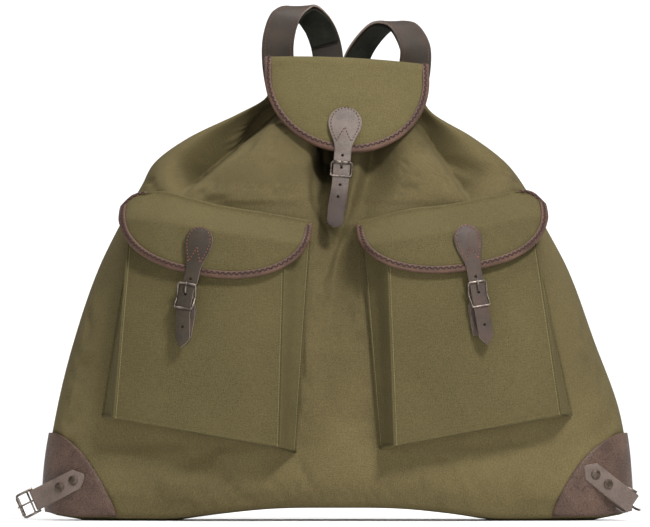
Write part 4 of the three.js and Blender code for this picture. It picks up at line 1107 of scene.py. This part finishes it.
def makeTab(side, spec, s):
    spot, end, near = closureSpot(spec), spec["tab"], s["near"]
    path = [(end, near), (end - 2, near), (end - s["point"], near), (40, near), (24, near), (16, 1.7),
            (10, 2.2), (4, 2.6), *circle(s["ring"], 90, 270, 15), (4, -2.6), (10, -2.2), (16, -1.7),
            (24, -near), (s["back"], -near)]
    stations = stationsAlong([spot(a, n, 0) for a, n in path], [spec["z"]] * len(path))
    halves = [1.5, s["half"] * 0.36] + [s["half"]] * (len(path) - 2)
    face = s["leather"] / 2
    return bandPiece(side + "Tab", stations, halves, -face, face, 0.5, tabLeather, rawEdge)


def makeRivet(name, spec, along, s):
    bpy.ops.object.select_all(action="DESELECT")
    bpy.ops.mesh.primitive_cylinder_add(vertices=36, radius=s["head"] * mm, depth=s["rim"] * mm)
    piece = bpy.context.object
    piece.name = piece.data.name = name
    edited(piece, (bpy.ops.mesh.select_all, {"action": "DESELECT"}))
    for polygon in piece.data.polygons:
        polygon.select = polygon.normal.z > 0.9
    bpy.ops.object.mode_set(mode="EDIT")
    for inset, lift in s["dome"]:
        bpy.ops.mesh.inset(thickness=inset * mm, depth=lift * mm)
    bpy.ops.object.mode_set(mode="OBJECT")
    bevel = {"offset": s["soft"] * mm, "segments": 2, "affect": "EDGES", "clamp_overlap": True}
    edited(piece, (bpy.ops.mesh.bevel, bevel), (bpy.ops.mesh.faces_shade_smooth, {}))
    face = tabSettings["near"] + tabSettings["leather"] / 2
    place = (closureSpot(spec)(along, face + s["off"], 0) + frameShift) * mm
    turn = Matrix((spec["x"], spec["z"], -np.array(spec["y"]))).transposed().to_4x4()
    piece.data.transform(Matrix.Translation(Vector(place)) @ turn)
    return piece


def makeCornerBuckle(spot, s):
    def bar(name, along, half, radius):
        return wirePiece(name, [spot(-along, 0, k * half) for k in (-1, 0, 1)], radius)

    loop = [spot(-along, 0, k * s["half"]) for along, k in ((0, -1), (s["far"], -1), (s["far"], 1), (0, 1))]
    ring = wirePiece("cornerBuckle", loop, s["wire"], ring=True)
    keeper = bar("cornerKeeper", s["keeper"], s["half"], s["wire"] * 0.8)
    roller = bar("cornerRoller", s["far"], s["half"] - s["rollerShort"], s["roller"])
    over = s["roller"] + s["prong"]
    path = circle(s["wire"] + s["prong"] + s["loose"], -100, 90, 6)
    path += [(-s["keeper"], 2.7), (-s["far"], over + s["loose"]), (-s["far"] - 2, over)]
    prongPath = [spot(a, n, 0) for a, n in path]
    return joined(ring, keeper, roller), wirePiece("cornerProng", prongPath, s["prong"])


def makeCornerHook(spot, s):
    inward, behind, shank, nose = (s[k] for k in ("inward", "behind", "shank", "nose"))
    loop = [(0, 0, -1), (inward, -behind, -1), (inward, -behind, 1), (0, 0, 1)]
    ring = wirePiece("cornerHook", [spot(a, n, k * s["half"]) for a, n, k in loop], s["wire"], ring=True)
    path = [(inward + 0.3, -behind + 0.3), (inward * 0.5, -shank), (-nose * 0.75, -shank),
            (-nose, -shank + 4), (-nose, -shank + 8)]
    return joined(ring, wirePiece("cornerHookNose", [spot(a, n, 0) for a, n in path], s["wire"]))


for side, spec in corners.items():
    patch, patchStitches = makePatch(side, spec, patchSettings)
    finishPiece(patch, "bag", "patch_leather", patchLeather, side + "_corner_patch")
    finishPiece(patchStitches, "bag", "patch_leather", brownThread)
    finishPiece(makeTab(side, spec, tabSettings), "bag", "closure_leather", tabLeather, side + "_corner_tab")
    for place in ("inner", "outer"):
        rivet = makeRivet(side + "Rivet" + place.title(), spec, spec[place], rivetSettings)
        finishPiece(rivet, "bag", "steel", rivetMetal, f"{side}_corner_rivet_{place}")
    if side == "left":
        cornerBuckle, cornerProng = makeCornerBuckle(closureSpot(spec), cornerBuckleSettings)
        finishPiece(cornerBuckle, "corner_buckle", "steel", buckleMetal, "corner_buckle")
        finishPiece(cornerProng, "corner_prong", "steel", buckleMetal, "corner_prong")
    else:
        hook = makeCornerHook(closureSpot(spec), hookSettings)
        finishPiece(hook, "corner_hook", "steel", buckleMetal, "corner_hook")
print("corners made")


# Shoulder straps: leather outside, felt inside, a ring on the right one

strapSettings = {"half": 15.5, "broad": 16.8, "leather": 3.0, "felt": 1.5, "between": 2.1, "steps": 150,
                 "rounding": 0.7, "hole": 2.5, "inset": 3.4, "pitch": 3.4, "lift": 0.05,
                 "stitch": (2.3, 0.4)}
straps = {
    "left": {"linedTo": 0.57, "tip": 18, "holes": (30, 55, 80), "path": table(
        "x y z yaw", (-50, 55.5, 416, 12), (-56, 62.5, 440, 3), (-60, 63.5, 466, 0), (-59, 64.5, 490, -6),
        (-51, 70, 511, -16), (-36, 86, 518, -18), (-19, 98, 501, -8), (-10, 101, 476, -3), (-10, 98, 446, 0),
        (-18, 95, 400, 0), (-23, 94, 300, 0), (-25, 94, 180, 0), (-26, 93, 62, 0))},
    "right": {"linedTo": 0.7, "tip": 0, "holes": (), "path": table(
        "x y z yaw", (65, 53.5, 414, -20), (75, 62.5, 440, -2), (79, 63.5, 462, 8), (78, 64.5, 482, 20),
        (66, 71, 500, 30), (48, 84, 502, 37), (31, 97, 486, 39), (20, 103, 465, 36), (19, 101, 440, 28),
        (22, 96, 400, 10), (24, 94, 300, 0), (26, 94, 180, 0), (27, 93, 78, 0))},
}
ringSettings = {"wire": 2.0, "loose": 0.3, "sewn": 14, "sewnHalf": 12.0, "turns": 5,
                "outline": ((-19.5, 0), (19.5, 0), (18, -13), (11.5, -25), (0, -30), (-11.5, -25),
                            (-18, -13)),
                "turned": ((-1.1, 1.5), (-0.6, 4.5), (0.9, 8), (2.2, 11), (2.75, 14.5), (2.85, 18),
                           (2.85, 28))}


def makeStrap(side, spec, s):
    rows = [{**row, "row": i} for i, row in enumerate(spec["path"])]
    last = len(rows) - 1
    reached = np.linspace(0, last, s["steps"] + 1)
    x, y, z, yaw = [lineThrough(rows, "row", k)(reached) for k in ("x", "y", "z", "yaw")]
    path = list(np.stack([x, y, z], axis=-1))
    hints = [(math.cos(a), math.sin(a), 0) for a in np.radians(yaw)]
    tail = path[-1]
    turn = ringSettings["wire"] + ringSettings["loose"] - s["between"] / 2
    if side == "right":  # the end goes round the ring and back up
        arc = (*circle(turn, -20, -180, 9), *ringSettings["turned"])
        path += [tail + np.array((0, y - turn, z)) for y, z in arc]
    added = len(path) - len(hints)
    stations = stationsAlong(path, hints + [(1, 0, 0)] * added)
    left = np.linalg.norm(np.array(path) - tail, axis=1)
    full = lerp(s["broad"], s["half"], np.clip(np.append(reached, [last] * added) / 6, 0, 1))
    halves = np.where(left < spec["tip"], lerp(4, full, left / max(spec["tip"], 1)), full)
    low, high = s["between"] / 2, s["between"] / 2 + s["leather"]
    strap = bandPiece(side + "Strap", stations, halves, low, high, s["rounding"], strapLeather, rawEdge)
    punch(strap, [tail + np.array((0, 0, up)) for up in spec["holes"]], (0, 1, 0), s["hole"])
    lined, sewn = slice(3, round(s["steps"] * spec["linedTo"])), slice(2, s["steps"] - 5)
    lining = bandPiece(side + "StrapLining", stations[lined], halves[lined] - 1.2, -low - s["felt"],
                       -low + 0.6, 0.5)
    runs = []
    for edge in (-1, 1):
        line = [middle + across * edge * (half - s["inset"]) + out * high
                for (middle, across, out), half in zip(stations[sewn], halves[sewn])]
        runs += stitchRuns(line, [out for _, _, out in stations[sewn]], s["pitch"], s["lift"])
    if side == "right":
        half, up = ringSettings["sewnHalf"], ringSettings["sewn"]
        across = [tail + np.array((k * half, high, up)) for k in (-1, 0, 1)]
        runs += stitchRuns(across, [(0, 1, 0)] * 3, s["pitch"], s["lift"])
    stitches = stitchPiece(side + "StrapStitches", runs, *s["stitch"])
    return strap, lining, stitches, [tail + np.array((x, -turn, z)) for x, z in ringSettings["outline"]]


for side, spec in straps.items():
    strap, lining, stitches, ringPath = makeStrap(side, spec, strapSettings)
    finishPiece(strap, "bag", "strap_leather", strapLeather, side + "_strap")
    finishPiece(lining, "bag", "felt", felt, side + "_strap_lining")
    finishPiece(stitches, "bag", "strap_leather", strapThread)
    if side == "right":
        ring = wirePiece("strapRing", ringPath, ringSettings["wire"], ring=True, turns=ringSettings["turns"])
        finishPiece(ring, "bag", "steel", buckleMetal, "right_strap_ring")
print("straps made")


# Floor, backdrop and lights

stageSettings = {"width": 16.0, "near": -16.0, "far": 5.0, "bend": 0.5, "high": 0.8,
                 "pale": (0.93, 0.93, 0.93, 1), "sky": 0.19}
lights = table("name place target size power",
               ("keyLight", (1.2, -2.3, 2.55), (0, 0, 0.25), 0.7, 108),
               ("fillLight", (-0.2, -3.6, 0.3), (0, 0, 0.12), 1.6, 30),
               ("topLight", (0.4, -0.7, 3.0), (0, 0, 0.2), 1.4, 8),
               ("wallLight", (0.0, 0.6, 5.0), (0, 5.0, 1.0), 3.0, 330))


def makeStage(settings):
    bend, foot, half = settings["bend"], settings["far"] - settings["bend"], settings["width"] / 2
    rows = [(settings["near"], 0.0), (foot, 0.0)]
    angles = np.linspace(0.1, math.pi / 2, 12)
    rows += [(foot + bend * math.sin(a), bend - bend * math.cos(a)) for a in angles]
    rows.append((settings["far"], settings["high"]))
    mesh = bpy.data.meshes.new("floor")
    mesh.from_pydata([(x, y, z) for y, z in rows for x in (-half, half)], [], gridFaces(len(rows), 2))
    material, _, shader = newMaterial("palePaper")
    fillSockets(shader, {"Base Color": settings["pale"], "Roughness": 0.9, "Specular IOR Level": 0.1})
    mesh.materials.append(material)
    addObject("floor", mesh)
    world = bpy.data.worlds.new("studio")
    world.use_nodes = True
    fillSockets(world.node_tree.nodes["Background"], {"Color": (1, 1, 1, 1), "Strength": settings["sky"]})
    bpy.context.scene.world = world
    bpy.context.scene.view_settings.view_transform = "Standard"


def addLight(name, place, target, size, power):
    data = bpy.data.lights.new(name, "AREA")
    data.shape, data.size, data.energy = "DISK", size, power
    light = addObject(name, data)
    light.location = place
    light.rotation_euler = (Vector(target) - Vector(place)).to_track_quat("-Z", "Y").to_euler()


makeStage(stageSettings)
for light in lights:
    addLight(**light)
print("stage and lights made")
